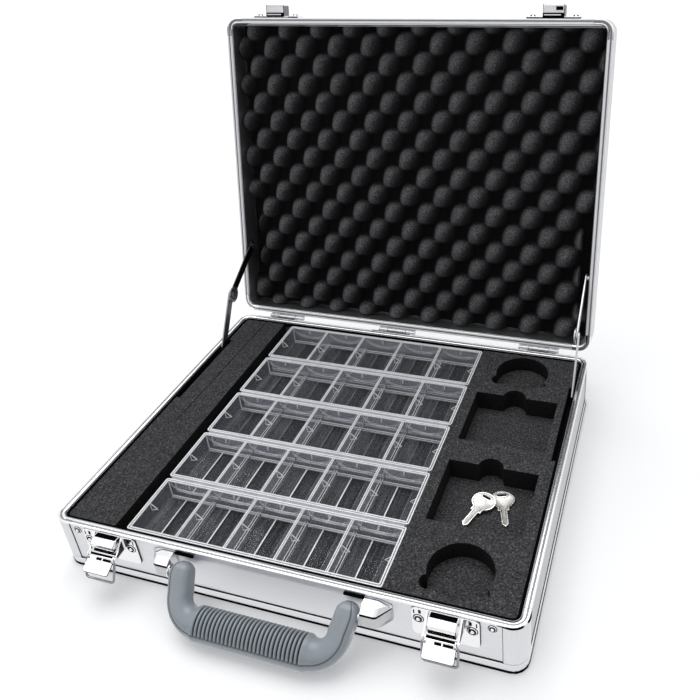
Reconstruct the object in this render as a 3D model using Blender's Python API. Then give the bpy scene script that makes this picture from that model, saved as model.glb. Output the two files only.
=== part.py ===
"""Aluminium poker chip case with an open lid, five clear chip trays and two keys.

Metres, +Z up, the front towards -Y. The origin is the middle of the flat underside.
"""
import math

import bmesh
import bpy
from mathutils import Matrix, Vector

# Driving sizes of the case
CASE_WIDTH = 0.380
CASE_DEPTH = 0.310
BASE_HEIGHT = 0.048
LID_HEIGHT = 0.030
CORNER_RADIUS = 0.012
WALL = 0.0058
SKIN_INSET = 0.0008
GAP = 0.0003
OVERRUN = 0.002
WELD = 0.00001

# Edge extrusions
RAIL_HEIGHT = 0.0086
RIM_HEIGHT = 0.0012
RIM_GROOVE_IN = 0.0019
RIM_GROOVE_WIDTH = 0.0014
RIM_GROOVE_DEPTH = 0.0005
POST_REACH = 0.016
CAP_REACH = 0.0175
CAP_PROUD = 0.0003
BOTTOM_THICK = 0.0030
LID_SKIN = 0.0015
EDGE_ROUND = 0.0022

# Lid hinge
RIM_SEAM = 0.0004
HINGE_OUT = 0.0030
LID_LEAN = math.radians(12.3)
LID_SWING = math.radians(90) + LID_LEAN
HINGE_PLACE_SHARES = (("left", -0.363), ("middle", -0.026), ("right", 0.368))
HINGE_WIDTH = 0.040
LEAF_THICK = 0.0012
LEAF_HEIGHT = 0.014
LEAF_STANDOFF = 0.0003
KNUCKLE_RADIUS = 0.0020
KNUCKLE_WIDTH = 0.0196
PIN_RADIUS = 0.0010
RUNNING = 0.0003

# Foam
FOAM_BELOW_RIM = 0.0020
LEFT_FOAM_WIDTH = 0.0477
DARK_GAP = 0.0096
SLOT_FAR = 0.151
SLOT_NEAR = 0.052
SLOT_DEEP = 0.022
SLOT_WIDTH = 0.0059
KNIFE_CUT_BACK_IN = 0.0316
KNIFE_CUT_FRONT_IN = 0.0278
KNIFE_CUT_FRONT = -0.023
KNIFE_CUT_WIDTH = 0.0006
KNIFE_CUT_DEPTH = 0.0030
POCKET_IN = 0.056
CARD_WIDTH = 0.075
CARD_LENGTH = 0.0665
CARD_DEEP = 0.019
CARD_BACK_Y = 0.0480
CARD_FRONT_Y = -0.0450
THUMB_SHIFT = 0.002
THUMB_RADIUS = 0.0105
THUMB_INSET = 0.0010
ROUND_RADIUS = 0.0247
ROUND_DEEP = 0.015
ROUND_BACK_SIDE_IN = 0.0585
ROUND_BACK_END_IN = 0.0365
ROUND_FRONT_SIDE_IN = 0.0545
ROUND_FRONT_END_IN = 0.0370
ROUND_THUMB_RADII = (0.0065, 0.0045)
ROUND_THUMB_TURN = math.radians(36)
EGG_CLEAR = 0.0022
EGG_THIN = 0.0070
EGG_THICK = 0.0200
EGG_COLUMNS = 41
EGG_ROWS = 33
EGG_LOW_EDGE = 0.0060
EGG_LOW_FAR = 0.122
EGG_LOW_NEAR = 0.046

# Chip trays
TRAY_COUNT = 5
TRAY_CELLS = 5
TRAY_WIDTH = 0.2126
TRAY_END_GAP = 0.0034
TRAY_BETWEEN = 0.0029
TRAY_HEIGHT = 0.021
TRAY_BELOW_RIM = 0.0025
TRAY_WALL = 0.0012
TRAY_FLOOR = 0.0012
TRAY_DIVIDER = 0.0016
TRAY_LIP = 0.0008
TRAY_LIP_HEIGHT = 0.0020
CRADLE_RISE = 0.0045
TRAY_CORNER = 0.0020

# Draw latches
LEFT_LATCH_IN = 0.0535
RIGHT_LATCH_IN = 0.0555
LEFT_CATCH_SHIFT = 0.0015
RIGHT_CATCH_SHIFT = 0.0025
LATCH_WIDTH = 0.048
LATCH_HEIGHT = 0.0268
LATCH_BELOW_RIM = 0.0003
PLATE_THICK = 0.0012
PLATE_CORNER = 0.003
RIVET_RADIUS = 0.0035
RIVET_HEIGHT = 0.0010
RIVET_IN = 0.0050
RIVET_DOWN = 0.0105
CORNER_RIVET_IN = 0.023
CORNER_RIVET_DOWN = 0.0050
CORNER_RIVET_RADIUS = 0.0026
HOUSING_WIDTH = 0.0205
HOUSING_OUT = 0.0095
HOUSING_LOW_DOWN = 0.0108
HOUSING_HIGH_DOWN = 0.0016
HOUSING_TOP_OUT = 0.0055
HOUSING_RIDGE_DOWN = 0.0050
LEVER_OUT = 0.0115
LEVER_DOWN = 0.0135
LEVER_WIDTH = 0.0224
LEVER_LENGTH = 0.0133
LEVER_THICK = 0.0012
LEVER_BARREL = 0.0016
LEFT_LEVER_TILT = math.radians(63)
RIGHT_LEVER_TILT = math.radians(48)
LEVER_NOTCH_WIDTH = 0.0036
LEVER_NOTCH_HEIGHT = 0.0016
LEVER_NOTCH_IN = 0.0040
EAR_THICK = 0.0012
EAR_GAP = 0.0004
EAR_RADIUS = 0.0018
EAR_SLOPE = math.radians(60)
EAR_PIN = 0.0010
BAIL_OFFSET = 0.0030
BAIL_LENGTH = 0.0160
BAIL_WIRE = 0.0009
BAIL_CLEAR = 0.0014
BAIL_CORNER = 0.0030
LEFT_BAIL_TILT = math.radians(24)
RIGHT_BAIL_TILT = math.radians(10)
LUG_RADIUS = 0.0017
LUG_WIDTH = 0.0022
CATCH_UP = 0.0002
CATCH_HEIGHT = 0.0130
HOOD_WIDTH = 0.019
HOOD_OUT = 0.0115
HOOD_HEIGHT = 0.0119
HOOD_WALL = 0.0012
HOOD_ROUND = 0.003
HOOD_MOUTH = 0.0060

# Handle
HANDLE_OUT = 0.0095
HANDLE_DOWN = 0.0135
HANDLE_LENGTH = 0.030
HANDLE_CORNER = 0.018
# Each row: distance from the middle, reach from the pivot line, radius
HANDLE_ARM = ((0.0665, -0.0085, 0.0030), (0.0665, -0.0070, 0.0060), (0.0665, -0.0042, 0.0084),
              (0.0665, 0.0000, 0.0092), (0.0655, 0.0060, 0.0092), (0.0643, 0.0110, 0.0092))
HANDLE_BEND_X = 0.0640
HANDLE_BEND_RADII = (0.0092, 0.0092, 0.0094, 0.0098, 0.0105, 0.0115)
HANDLE_GRIP_RADIUS = 0.0128
HANDLE_TILT = math.radians(44)
GRIP_HALF = 0.0425
GRIP_RIBS = 27
RIB_DEPTH = 0.0012
BRACKET_WIDTH = 0.0195
BRACKET_INNER = 0.0768
BRACKET_OUT = 0.0125
BRACKET_HEIGHT = 0.0212
BRACKET_FRONT_WIDTH = 0.0102
BRACKET_CHAMFER = 0.0052
BRACKET_PIN = 0.0024
BRACKET_PIN_REACH = 0.0085

# Folding lid stays, with their pivots' places from the lid's hinge
STAY_LID_REACH = 0.0764
STAY_LID_DEPTH = 0.0076
STAY_BASE_FORWARD = 0.0695
STAY_BASE_DOWN = 0.0150
STAY_ELBOW_FORWARD = 0.0312
STAY_ELBOW_UP = 0.0421
STAY_THICK = 0.0012
STAY_HALF_WIDTH = 0.0040
STAY_WALL_GAP = 0.0014
STAY_BETWEEN = 0.0004
ELBOW_DISC = 0.0080
ELBOW_DISC_THICK = 0.0011
STAY_PIN = 0.0020

# Keys
KEY_THICK = 0.0018
KEY_BOW_HALF = 0.0100
KEY_BOW_LONG = 0.0090
KEY_BLADE_HALF = 0.0026
KEY_BLADE_LENGTH = 0.0165
KEY_NECK_HALF = 0.0045
KEY_NECK_LENGTH = 0.0030
KEY_HOLE_LONG = 0.0040
KEY_HOLE_HALF = 0.0013
UNDER_KEY_RIGHT = 0.0110
UNDER_KEY_BACK = 0.0165
UNDER_KEY_TURN = math.radians(18)
OVER_KEY_LEFT = 0.0025
OVER_KEY_BACK = 0.0090
OVER_KEY_TURN = math.radians(-21)
OVER_KEY_TIP_DOWN = math.radians(4.1)
KEY_STACK_GAP = 0.0003

# Worked out from the sizes above
HALF_W = CASE_WIDTH / 2
HALF_D = CASE_DEPTH / 2
INNER_W = HALF_W - WALL
INNER_D = HALF_D - WALL
LEFT_FOAM_EDGE = -INNER_W + LEFT_FOAM_WIDTH
TRAY_LEFT = LEFT_FOAM_EDGE + DARK_GAP
TRAY_BACK = INNER_D - TRAY_END_GAP
TRAY_DEPTH = (2 * TRAY_BACK - (TRAY_COUNT - 1) * TRAY_BETWEEN) / TRAY_COUNT
TRAY_PITCH = TRAY_DEPTH + TRAY_BETWEEN
EGG_WIDTH = 2 * (INNER_W - EGG_CLEAR)
EGG_LENGTH = 2 * (INNER_D - EGG_CLEAR)
FOAM_TOP = BASE_HEIGHT - FOAM_BELOW_RIM
FOAM_FLOOR = BOTTOM_THICK + GAP
SLOT_FLOOR = FOAM_TOP - SLOT_DEEP
LID_LOW = BASE_HEIGHT + RIM_SEAM
LID_TOP = BASE_HEIGHT + LID_HEIGHT
FACE_Y = -HALF_D + SKIN_INSET
HOUSING_LOW = BASE_HEIGHT - HOUSING_LOW_DOWN
HOUSING_HIGH = BASE_HEIGHT - HOUSING_HIGH_DOWN
HOUSING_RIDGE = BASE_HEIGHT - HOUSING_RIDGE_DOWN
LEVER_Z = BASE_HEIGHT - LEVER_DOWN
HANDLE_Z = BASE_HEIGHT - HANDLE_DOWN
CATCH_LOW = LID_LOW + CATCH_UP
HOOD_HIGH = CATCH_LOW + HOOD_HEIGHT
HINGE = Vector((0, HALF_D + HINGE_OUT, BASE_HEIGHT + RIM_SEAM / 2))
HINGE_PLACES = [(name, share * CASE_WIDTH) for name, share in HINGE_PLACE_SHARES]
POCKET_X = HALF_W - POCKET_IN
THUMB_X = POCKET_X - THUMB_SHIFT
CARD_PLACES = (CARD_BACK_Y, CARD_FRONT_Y)
ROUND_PLACES = ((HALF_W - ROUND_BACK_SIDE_IN, HALF_D - ROUND_BACK_END_IN),
                (HALF_W - ROUND_FRONT_SIDE_IN, -HALF_D + ROUND_FRONT_END_IN))
LATCH_PLACES = {"left": -HALF_W + LEFT_LATCH_IN, "right": HALF_W - RIGHT_LATCH_IN}
CATCH_PLACES = {"left": LATCH_PLACES["left"] + LEFT_CATCH_SHIFT, "right": LATCH_PLACES["right"] + RIGHT_CATCH_SHIFT}
LEVER_TILTS = {"left": LEFT_LEVER_TILT, "right": RIGHT_LEVER_TILT}
BAIL_TILTS = {"left": LEFT_BAIL_TILT, "right": RIGHT_BAIL_TILT}
STAY_BASE = (HINGE.y - STAY_BASE_FORWARD, HINGE.z - STAY_BASE_DOWN)
STAY_ELBOW = (HINGE.y - STAY_ELBOW_FORWARD, HINGE.z + STAY_ELBOW_UP)
UNDER_KEY_AT = (POCKET_X + UNDER_KEY_RIGHT, CARD_FRONT_Y + UNDER_KEY_BACK)
OVER_KEY_AT = (POCKET_X - OVER_KEY_LEFT, CARD_FRONT_Y + OVER_KEY_BACK)
TRAY_TOP = BASE_HEIGHT - TRAY_BELOW_RIM
TRAY_BOTTOM = TRAY_TOP - TRAY_HEIGHT
TRAY_RIGHT = TRAY_LEFT + TRAY_WIDTH
ZERO = Vector((0, 0, 0))

ALUMINIUM = ("aluminium", (0.72, 0.73, 0.75), 0.38, 1.0)
BRIGHT = ("bright_rim", (0.86, 0.87, 0.88), 0.18, 1.0)
CHROME = ("chrome", (0.88, 0.88, 0.89), 0.08, 1.0)
STEEL = ("stay_steel", (0.16, 0.16, 0.17), 0.35, 1.0)
NICKEL = ("nickel", (0.80, 0.79, 0.76), 0.22, 1.0)
FOAM = ("charcoal_foam", (0.055, 0.055, 0.058), 0.95, 0.0)
EGG_FOAM = ("egg_foam", (0.022, 0.022, 0.024), 0.95, 0.0)
GREY_PLASTIC = ("handle_plastic", (0.36, 0.40, 0.44), 0.45, 0.0)
CLEAR = ("clear_plastic", (0.88, 0.90, 0.96), 0.06, 0.0)

PARTS = None
CUTTERS = None


# Scene and objects

def empty_the_scene():
    for obj in list(bpy.data.objects):
        bpy.data.objects.remove(obj)


def new_collection(name):
    made = bpy.data.collections.new(name)
    bpy.context.scene.collection.children.link(made)
    return made


def material(name, finish):
    kind, colour, roughness, metallic = finish
    made = bpy.data.materials.new(kind + "_" + name)
    made.use_nodes = True
    shader = made.node_tree.nodes["Principled BSDF"]
    shader.inputs["Base Color"].default_value = (*colour, 1.0)
    shader.inputs["Roughness"].default_value = roughness
    shader.inputs["Metallic"].default_value = metallic
    if finish is CLEAR:
        shader.inputs["Alpha"].default_value = 0.35
    return made


def mesh_object(name, bm):
    bmesh.ops.recalc_face_normals(bm, faces=bm.faces)
    mesh = bpy.data.meshes.new(name)
    bm.to_mesh(mesh)
    bm.free()
    made = bpy.data.objects.new(name, mesh)
    PARTS.objects.link(made)
    return made


def finish_part(obj, finish, smooth=True):
    obj.data.materials.clear()
    obj.data.materials.append(material(obj.name, finish))
    if smooth:
        obj.data.shade_smooth()
        obj.data.set_sharp_from_angle(angle=math.radians(35))
    return obj


def carry(obj, pivot, at=ZERO):
    """Hang an object, modelled about the point at, on the pivot empty."""
    obj.parent = pivot
    obj.location = -Vector(at)
    for modifier in obj.modifiers:
        if modifier.type == "BOOLEAN":
            carry(modifier.object, pivot, at)
    return obj


def pivot_empty(name, at, tilt=0.0, parent=None):
    made = bpy.data.objects.new(name, None)
    PARTS.objects.link(made)
    made.parent = parent
    made.location = at
    made.rotation_euler = (tilt, 0, 0)
    return made


def helper(obj):
    PARTS.objects.unlink(obj)
    CUTTERS.objects.link(obj)
    obj.hide_render = True
    obj.display_type = "WIRE"


def combine(obj, other, operation):
    helper(other)
    modifier = obj.modifiers.new(other.name, "BOOLEAN")
    modifier.operation = operation
    modifier.solver = "EXACT"
    modifier.object = other


def cut(obj, *cutters):
    for cutter in cutters:
        combine(obj, cutter, "DIFFERENCE")
    return obj


def join(obj, *others):
    for other in others:
        combine(obj, other, "UNION")
    return obj


# Basic solids

def box(name, low, high):
    bm = bmesh.new()
    size = [b - a for a, b in zip(low, high)]
    middle = [(a + b) / 2 for a, b in zip(low, high)]
    place = Matrix.Translation(middle) @ Matrix.Diagonal((*size, 1))
    bmesh.ops.create_cube(bm, size=1, matrix=place)
    return mesh_object(name, bm)


def rod(name, start, end, radius, sides=20, end_radius=None):
    start, end = Vector(start), Vector(end)
    along = end - start
    turn = along.to_track_quat("Z", "Y").to_matrix().to_4x4()
    bm = bmesh.new()
    bmesh.ops.create_cone(bm, cap_ends=True, segments=sides, radius1=radius,
                          radius2=radius if end_radius is None else end_radius, depth=along.length,
                          matrix=Matrix.Translation((start + end) / 2) @ turn)
    return mesh_object(name, bm)


def curve_mesh(name, curve):
    """A curve's solid as a mesh, its caps welded."""
    guide = bpy.data.objects.new(name, curve)
    PARTS.objects.link(guide)
    graph = bpy.context.evaluated_depsgraph_get()
    mesh = bpy.data.meshes.new_from_object(guide.evaluated_get(graph))
    bm = bmesh.new()
    bm.from_mesh(mesh)
    bmesh.ops.remove_doubles(bm, verts=bm.verts, dist=WELD)
    bpy.data.objects.remove(guide)
    bpy.data.meshes.remove(mesh)
    return bm


def prism(name, loops, low, high, axis="Z"):
    """A flat outline (and its holes) between two planes across an axis.

    The outline is in (x, y) for Z, (y, z) for X and (x, z) for Y.
    """
    curve = bpy.data.curves.new(name, "CURVE")
    curve.dimensions = "2D"
    curve.fill_mode = "BOTH"
    curve.extrude = (high - low) / 2
    for loop in loops:
        spline = curve.splines.new("POLY")
        spline.points.add(len(loop) - 1)
        for point, (u, v) in zip(spline.points, loop):
            point.co = (u, v, 0, 1)
        spline.use_cyclic_u = True
    bm = curve_mesh(name, curve)
    turns = {"Z": ((1, 0, 0), (0, 1, 0), (0, 0, 1)),
             "X": ((0, 0, 1), (1, 0, 0), (0, 1, 0)),
             "Y": ((1, 0, 0), (0, 0, -1), (0, 1, 0))}
    middle = (low + high) / 2
    shift = {"Z": (0, 0, middle), "X": (middle, 0, 0), "Y": (0, middle, 0)}
    bmesh.ops.transform(bm, matrix=Matrix(turns[axis]).to_4x4(), verts=bm.verts)
    bmesh.ops.translate(bm, vec=shift[axis], verts=bm.verts)
    return mesh_object(name, bm)


def tube(name, points, radii, sides_level=3):
    """A round tube through points, with a radius at each."""
    curve = bpy.data.curves.new(name, "CURVE")
    curve.dimensions = "3D"
    curve.bevel_depth = 1.0
    curve.bevel_resolution = sides_level
    curve.use_fill_caps = True
    spline = curve.splines.new("POLY")
    spline.points.add(len(points) - 1)
    for point, place, radius in zip(spline.points, points, radii):
        point.co = (*place, 1)
        point.radius = radius
    return mesh_object(name, curve_mesh(name, curve))


# Outlines

def arc(centre, radius, start, end, steps=6):
    return [(centre[0] + radius * math.cos(start + (end - start) * i / steps),
             centre[1] + radius * math.sin(start + (end - start) * i / steps)) for i in range(steps + 1)]


def rounded(low, high, radius, steps=6):
    """A rectangle with round corners."""
    right = math.pi / 2
    (x0, y0), (x1, y1) = low, high
    centres = ((x1 - radius, y1 - radius), (x0 + radius, y1 - radius),
               (x0 + radius, y0 + radius), (x1 - radius, y0 + radius))
    points = []
    for i, centre in enumerate(centres):
        points += arc(centre, radius, i * right, (i + 1) * right, steps)
    return points


def capsule(start, end, radius, steps=8):
    turn = math.atan2(end[1] - start[1], end[0] - start[0])
    right = math.pi / 2
    return (arc(end, radius, turn - right, turn + right, steps)
            + arc(start, radius, turn + right, turn + 3 * right, steps))


def corner_band(side_x, side_y, reach, outer, inner):
    """An L in plan round one corner, between two insets from the case's outside."""
    right = math.pi / 2
    centre = (HALF_W - CORNER_RADIUS, HALF_D - CORNER_RADIUS)
    outside = arc(centre, CORNER_RADIUS - outer, 0, right)
    inside = arc(centre, CORNER_RADIUS - inner, right, 0)
    points = [(HALF_W - outer, HALF_D - reach), *outside, (HALF_W - reach, HALF_D - outer),
              (HALF_W - reach, HALF_D - inner), *inside, (HALF_W - inner, HALF_D - reach)]
    placed = [(side_x * x, side_y * y) for x, y in points]
    return placed if side_x * side_y > 0 else placed[::-1]


def case_outline(inset):
    return rounded((-HALF_W + inset, -HALF_D + inset), (HALF_W - inset, HALF_D - inset), CORNER_RADIUS - inset)


# The shell

SIDES = {"front": (0, -1), "back": (0, 1), "left": (-1, 0), "right": (1, 0)}
CORNERS = {"front_left": (-1, -1), "front_right": (1, -1), "back_left": (-1, 1), "back_right": (1, 1)}


def side_box(name, side, reach, outer, inner, low, high):
    """A straight bar along one side, between two insets from the case's outside."""
    x, y = SIDES[side]
    if y:
        ys = sorted((y * (HALF_D - outer), y * (HALF_D - inner)))
        return box(name, (-HALF_W + reach, ys[0], low), (HALF_W - reach, ys[1], high))
    xs = sorted((x * (HALF_W - outer), x * (HALF_W - inner)))
    return box(name, (xs[0], -HALF_D + reach, low), (xs[1], HALF_D - reach, high))


def rivet(name, x, face, z, radius=RIVET_RADIUS):
    """A domed rivet head standing out of a front face."""
    return rod(name, (x, face + RIVET_HEIGHT / 2, z), (x, face - RIVET_HEIGHT, z), radius, 16, radius / 2)


def rim_groove(low_side):
    """Height range of the groove cutter, on the lid's or the base's seam face."""
    if low_side:
        return LID_LOW - OVERRUN, LID_LOW + RIM_GROOVE_DEPTH
    return BASE_HEIGHT - RIM_GROOVE_DEPTH, BASE_HEIGHT + OVERRUN


def rim(name, side, lid):
    low, high = (LID_LOW, LID_LOW + RIM_HEIGHT) if lid else (BASE_HEIGHT - RIM_HEIGHT, BASE_HEIGHT)
    bar = side_box(name, side, CAP_REACH + GAP, 0, WALL, low, high)
    groove = side_box(name + "_groove", side, CAP_REACH - OVERRUN, RIM_GROOVE_IN,
                      RIM_GROOVE_IN + RIM_GROOVE_WIDTH, *rim_groove(lid))
    return finish_part(cut(bar, groove), BRIGHT)


def rim_corner(name, corner, lid):
    low, high = (LID_LOW, LID_LOW + RIM_HEIGHT) if lid else (BASE_HEIGHT - RIM_HEIGHT, BASE_HEIGHT)
    cap = prism(name, [corner_band(*CORNERS[corner], CAP_REACH, -CAP_PROUD, WALL)], low, high)
    groove = prism(name + "_groove",
                   [corner_band(*CORNERS[corner], CAP_REACH + OVERRUN, RIM_GROOVE_IN,
                                RIM_GROOVE_IN + RIM_GROOVE_WIDTH)], *rim_groove(lid))
    return finish_part(cut(cap, groove), CHROME)


def base_shell():
    low, high = RAIL_HEIGHT + GAP, BASE_HEIGHT - RIM_HEIGHT - GAP
    for side in SIDES:
        panel = side_box("base_" + side + "_panel", side, POST_REACH + GAP, SKIN_INSET, WALL, low, high)
        if side == "front":
            for x in (-HALF_W + CORNER_RIVET_IN, HALF_W - CORNER_RIVET_IN):
                join(panel, rivet("corner_rivet", x, FACE_Y, high - CORNER_RIVET_DOWN, CORNER_RIVET_RADIUS))
        finish_part(panel, ALUMINIUM)
        rim("base_" + side + "_rim", side, False)
    for corner in CORNERS:
        post = prism("base_" + corner + "_post", [corner_band(*CORNERS[corner], POST_REACH, 0, WALL)], low, high)
        finish_part(post, ALUMINIUM)
        rim_corner("base_" + corner + "_rim_corner", corner, False)
    rail = prism("base_bottom_rail", [case_outline(0), case_outline(WALL)[::-1]], 0, RAIL_HEIGHT)
    finish_part(rounded_edge(rail, 0), ALUMINIUM)
    floor = prism("base_bottom_panel", [case_outline(WALL + GAP)], 0, BOTTOM_THICK)
    finish_part(floor, ALUMINIUM)


def rounded_edge(ring, height):
    """Round the ring's outer edge at one height."""
    bm = bmesh.new()
    bm.from_mesh(ring.data)
    reach = (WALL / 2) / HALF_W

    def outside(vert):
        inset = max(abs(vert.co.x) - HALF_W, abs(vert.co.y) - HALF_D) + WALL / 2
        centre = Vector((HALF_W - CORNER_RADIUS, HALF_D - CORNER_RADIUS))
        from_centre = Vector((abs(vert.co.x), abs(vert.co.y))) - centre
        if from_centre.x > 0 and from_centre.y > 0:
            inset = from_centre.length - CORNER_RADIUS + WALL / 2
        return inset > reach

    def at_height(vert):
        return abs(vert.co.z - height) < GAP / 2

    edges = [e for e in bm.edges if all(at_height(v) and outside(v) for v in e.verts) and is_border(e, height)]
    bmesh.ops.bevel(bm, geom=edges, offset=EDGE_ROUND, segments=3, profile=0.5, affect="EDGES")
    bm.to_mesh(ring.data)
    bm.free()
    return ring


def is_border(edge, height):
    """True for an edge between the flat face at this height and the upright side."""
    upright = [abs(face.normal.z) < 0.5 for face in edge.link_faces]
    return any(upright) and not all(upright)


def lid_shell(pivot):
    for side in SIDES:
        carry(rim("lid_" + side + "_rim", side, True), pivot, HINGE)
    for corner in CORNERS:
        carry(rim_corner("lid_" + corner + "_rim_corner", corner, True), pivot, HINGE)
    low = LID_LOW + RIM_HEIGHT + GAP
    band = prism("lid_side_band", [case_outline(0), case_outline(WALL)[::-1]], low, LID_TOP)
    carry(finish_part(rounded_edge(band, LID_TOP), ALUMINIUM), pivot, HINGE)
    top = prism("lid_top_panel", [case_outline(WALL + GAP)], LID_TOP - LID_SKIN, LID_TOP)
    carry(finish_part(top, ALUMINIUM), pivot, HINGE)


# Hinges

def hinge_leaf(name, x, lid):
    """One leaf with its knuckles; the base's leaf also holds the pin."""
    near = HALF_D + LEAF_STANDOFF
    far = near + LEAF_THICK
    half = HINGE_WIDTH / 2
    middle = KNUCKLE_WIDTH / 2
    way = 1 if lid else -1
    clear = HINGE.z + way * (KNUCKLE_RADIUS + RUNNING)
    tip = HINGE.z + way * (RIM_SEAM / 2)
    end = HINGE.z + way * (LEAF_HEIGHT + KNUCKLE_RADIUS)
    leaf = box(name, (x - half, near, min(clear, end)), (x + half, far, max(clear, end)))
    spans = [(-middle, middle)] if lid else [(-half, -middle - RUNNING), (middle + RUNNING, half)]
    for i, (left, right) in enumerate(spans):
        tongue_low, tongue_high = sorted((tip, clear + way * OVERRUN / 2))
        tongue = box(name + "_tongue_%d" % i, (x + left, near, tongue_low), (x + right, far, tongue_high))
        knuckle = rod(name + "_knuckle_%d" % i, (x + left, HINGE.y, HINGE.z), (x + right, HINGE.y, HINGE.z),
                      KNUCKLE_RADIUS)
        join(leaf, tongue, knuckle)
    if lid:
        bore = rod(name + "_bore", (x - half, HINGE.y, HINGE.z), (x + half, HINGE.y, HINGE.z),
                   PIN_RADIUS + RUNNING)
        cut(leaf, bore)
    else:
        pin = rod(name + "_pin", (x - half + GAP, HINGE.y, HINGE.z), (x + half - GAP, HINGE.y, HINGE.z),
                  PIN_RADIUS)
        join(leaf, pin)
    return finish_part(leaf, ALUMINIUM)


def hinges(pivot):
    for name, x in HINGE_PLACES:
        hinge_leaf("hinge_" + name + "_base_leaf", x, False)
        carry(hinge_leaf("hinge_" + name + "_lid_leaf", x, True), pivot, HINGE)


# Foam

def stay_slot(name, side, foam_edge):
    xs = sorted((side * (foam_edge + OVERRUN), side * (foam_edge - SLOT_WIDTH)))
    return box(name, (xs[0], HINGE.y - SLOT_FAR, SLOT_FLOOR), (xs[1], HINGE.y - SLOT_NEAR, FOAM_TOP + OVERRUN))


def foam_outline(inner_x, side):
    """Foam block in plan: square inside, rounded at the case's two corners."""
    outer = INNER_W - GAP
    deep = INNER_D - GAP
    radius = CORNER_RADIUS - WALL
    right = math.pi / 2
    points = [(inner_x * side, -deep), *arc((outer - radius, -deep + radius), radius, -right, 0),
              *arc((outer - radius, deep - radius), radius, 0, right), (inner_x * side, deep)]
    placed = [(side * x, y) for x, y in points]
    return placed if side > 0 else placed[::-1]


def left_foam():
    block = prism("foam_left_block", [foam_outline(LEFT_FOAM_EDGE, -1)], FOAM_FLOOR, FOAM_TOP)
    front_x, back_x = -HALF_W + KNIFE_CUT_FRONT_IN, -HALF_W + KNIFE_CUT_BACK_IN
    line = [(front_x, KNIFE_CUT_FRONT), (front_x + KNIFE_CUT_WIDTH, KNIFE_CUT_FRONT),
            (back_x + KNIFE_CUT_WIDTH, HALF_D), (back_x, HALF_D)]
    knife = prism("foam_left_knife_cut", [line], FOAM_TOP - KNIFE_CUT_DEPTH, FOAM_TOP + OVERRUN)
    cut(block, stay_slot("foam_left_slot", -1, INNER_W - GAP), knife)
    finish_part(block, FOAM, smooth=False)


def right_foam():
    block = prism("foam_right_block", [foam_outline(TRAY_RIGHT + 2 * GAP, 1)], FOAM_FLOOR, FOAM_TOP)
    top = FOAM_TOP + OVERRUN
    for i, y in enumerate(CARD_PLACES):
        low = FOAM_TOP - CARD_DEEP
        pocket = box("card_pocket_%d" % i, (POCKET_X - CARD_WIDTH / 2, y - CARD_LENGTH / 2, low),
                     (POCKET_X + CARD_WIDTH / 2, y + CARD_LENGTH / 2, top))
        edge = y + CARD_LENGTH / 2 - THUMB_INSET
        thumb = rod("card_thumb_%d" % i, (THUMB_X, edge, low), (THUMB_X, edge, top), THUMB_RADIUS, 28)
        cut(block, pocket, thumb)
    for i, (x, y) in enumerate(ROUND_PLACES):
        low = FOAM_TOP - ROUND_DEEP
        cut(block, rod("round_pocket_%d" % i, (x, y, low), (x, y, top), ROUND_RADIUS, 40))
        for side, radius in zip((-1, 1), ROUND_THUMB_RADII):
            at = x + side * ROUND_RADIUS * math.cos(ROUND_THUMB_TURN)
            down = y - ROUND_RADIUS * math.sin(ROUND_THUMB_TURN)
            name = "round_thumb_%d_%s" % (i, "left" if side < 0 else "right")
            cut(block, rod(name, (at, down, low), (at, down, top), radius, 24))
    cut(block, stay_slot("foam_right_slot", 1, INNER_W - GAP))
    finish_part(block, FOAM, smooth=False)


def floor_foam():
    deep = INNER_D - GAP
    slab = box("foam_floor", (LEFT_FOAM_EDGE + GAP, -deep, FOAM_FLOOR),
               (TRAY_RIGHT + GAP, deep, TRAY_BOTTOM - GAP))
    finish_part(slab, FOAM, smooth=False)


def egg_crate_foam(pivot):
    """Sheet with staggered domes, low beside the stays; its flat back is against the lid's panel."""
    back = LID_TOP - LID_SKIN - GAP
    bm = bmesh.new()
    bmesh.ops.create_grid(bm, x_segments=EGG_COLUMNS, y_segments=EGG_ROWS, size=1,
                          matrix=Matrix.Diagonal((EGG_WIDTH / 2, EGG_LENGTH / 2, 1, 1)))
    middle = (EGG_THIN + EGG_THICK) / 2
    swell = (EGG_THICK - EGG_THIN) / 2
    quarter = math.pi / 2
    for vert in bm.verts:
        column = round((vert.co.x / EGG_WIDTH + 1 / 2) * EGG_COLUMNS)
        row = round((vert.co.y / EGG_LENGTH + 1 / 2) * EGG_ROWS)
        dome = math.cos(quarter * (column - 2)) * math.cos(quarter * (row - 1))
        from_hinge = HINGE.y - vert.co.y
        if abs(vert.co.x) > EGG_WIDTH / 2 - EGG_LOW_EDGE and EGG_LOW_NEAR < from_hinge < EGG_LOW_FAR:
            dome = -1
        vert.co.z = back - middle - swell * dome
    made = bmesh.ops.extrude_face_region(bm, geom=bm.faces[:])
    for item in made["geom"]:
        if isinstance(item, bmesh.types.BMVert):
            item.co.z = back
    flat = [face for face in bm.faces if all(abs(vert.co.z - back) < GAP for vert in face.verts)]
    bmesh.ops.dissolve_faces(bm, faces=flat)
    sheet = mesh_object("lid_egg_crate_foam", bm)
    carry(finish_part(sheet, EGG_FOAM), pivot, HINGE)


# Chip trays

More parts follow.
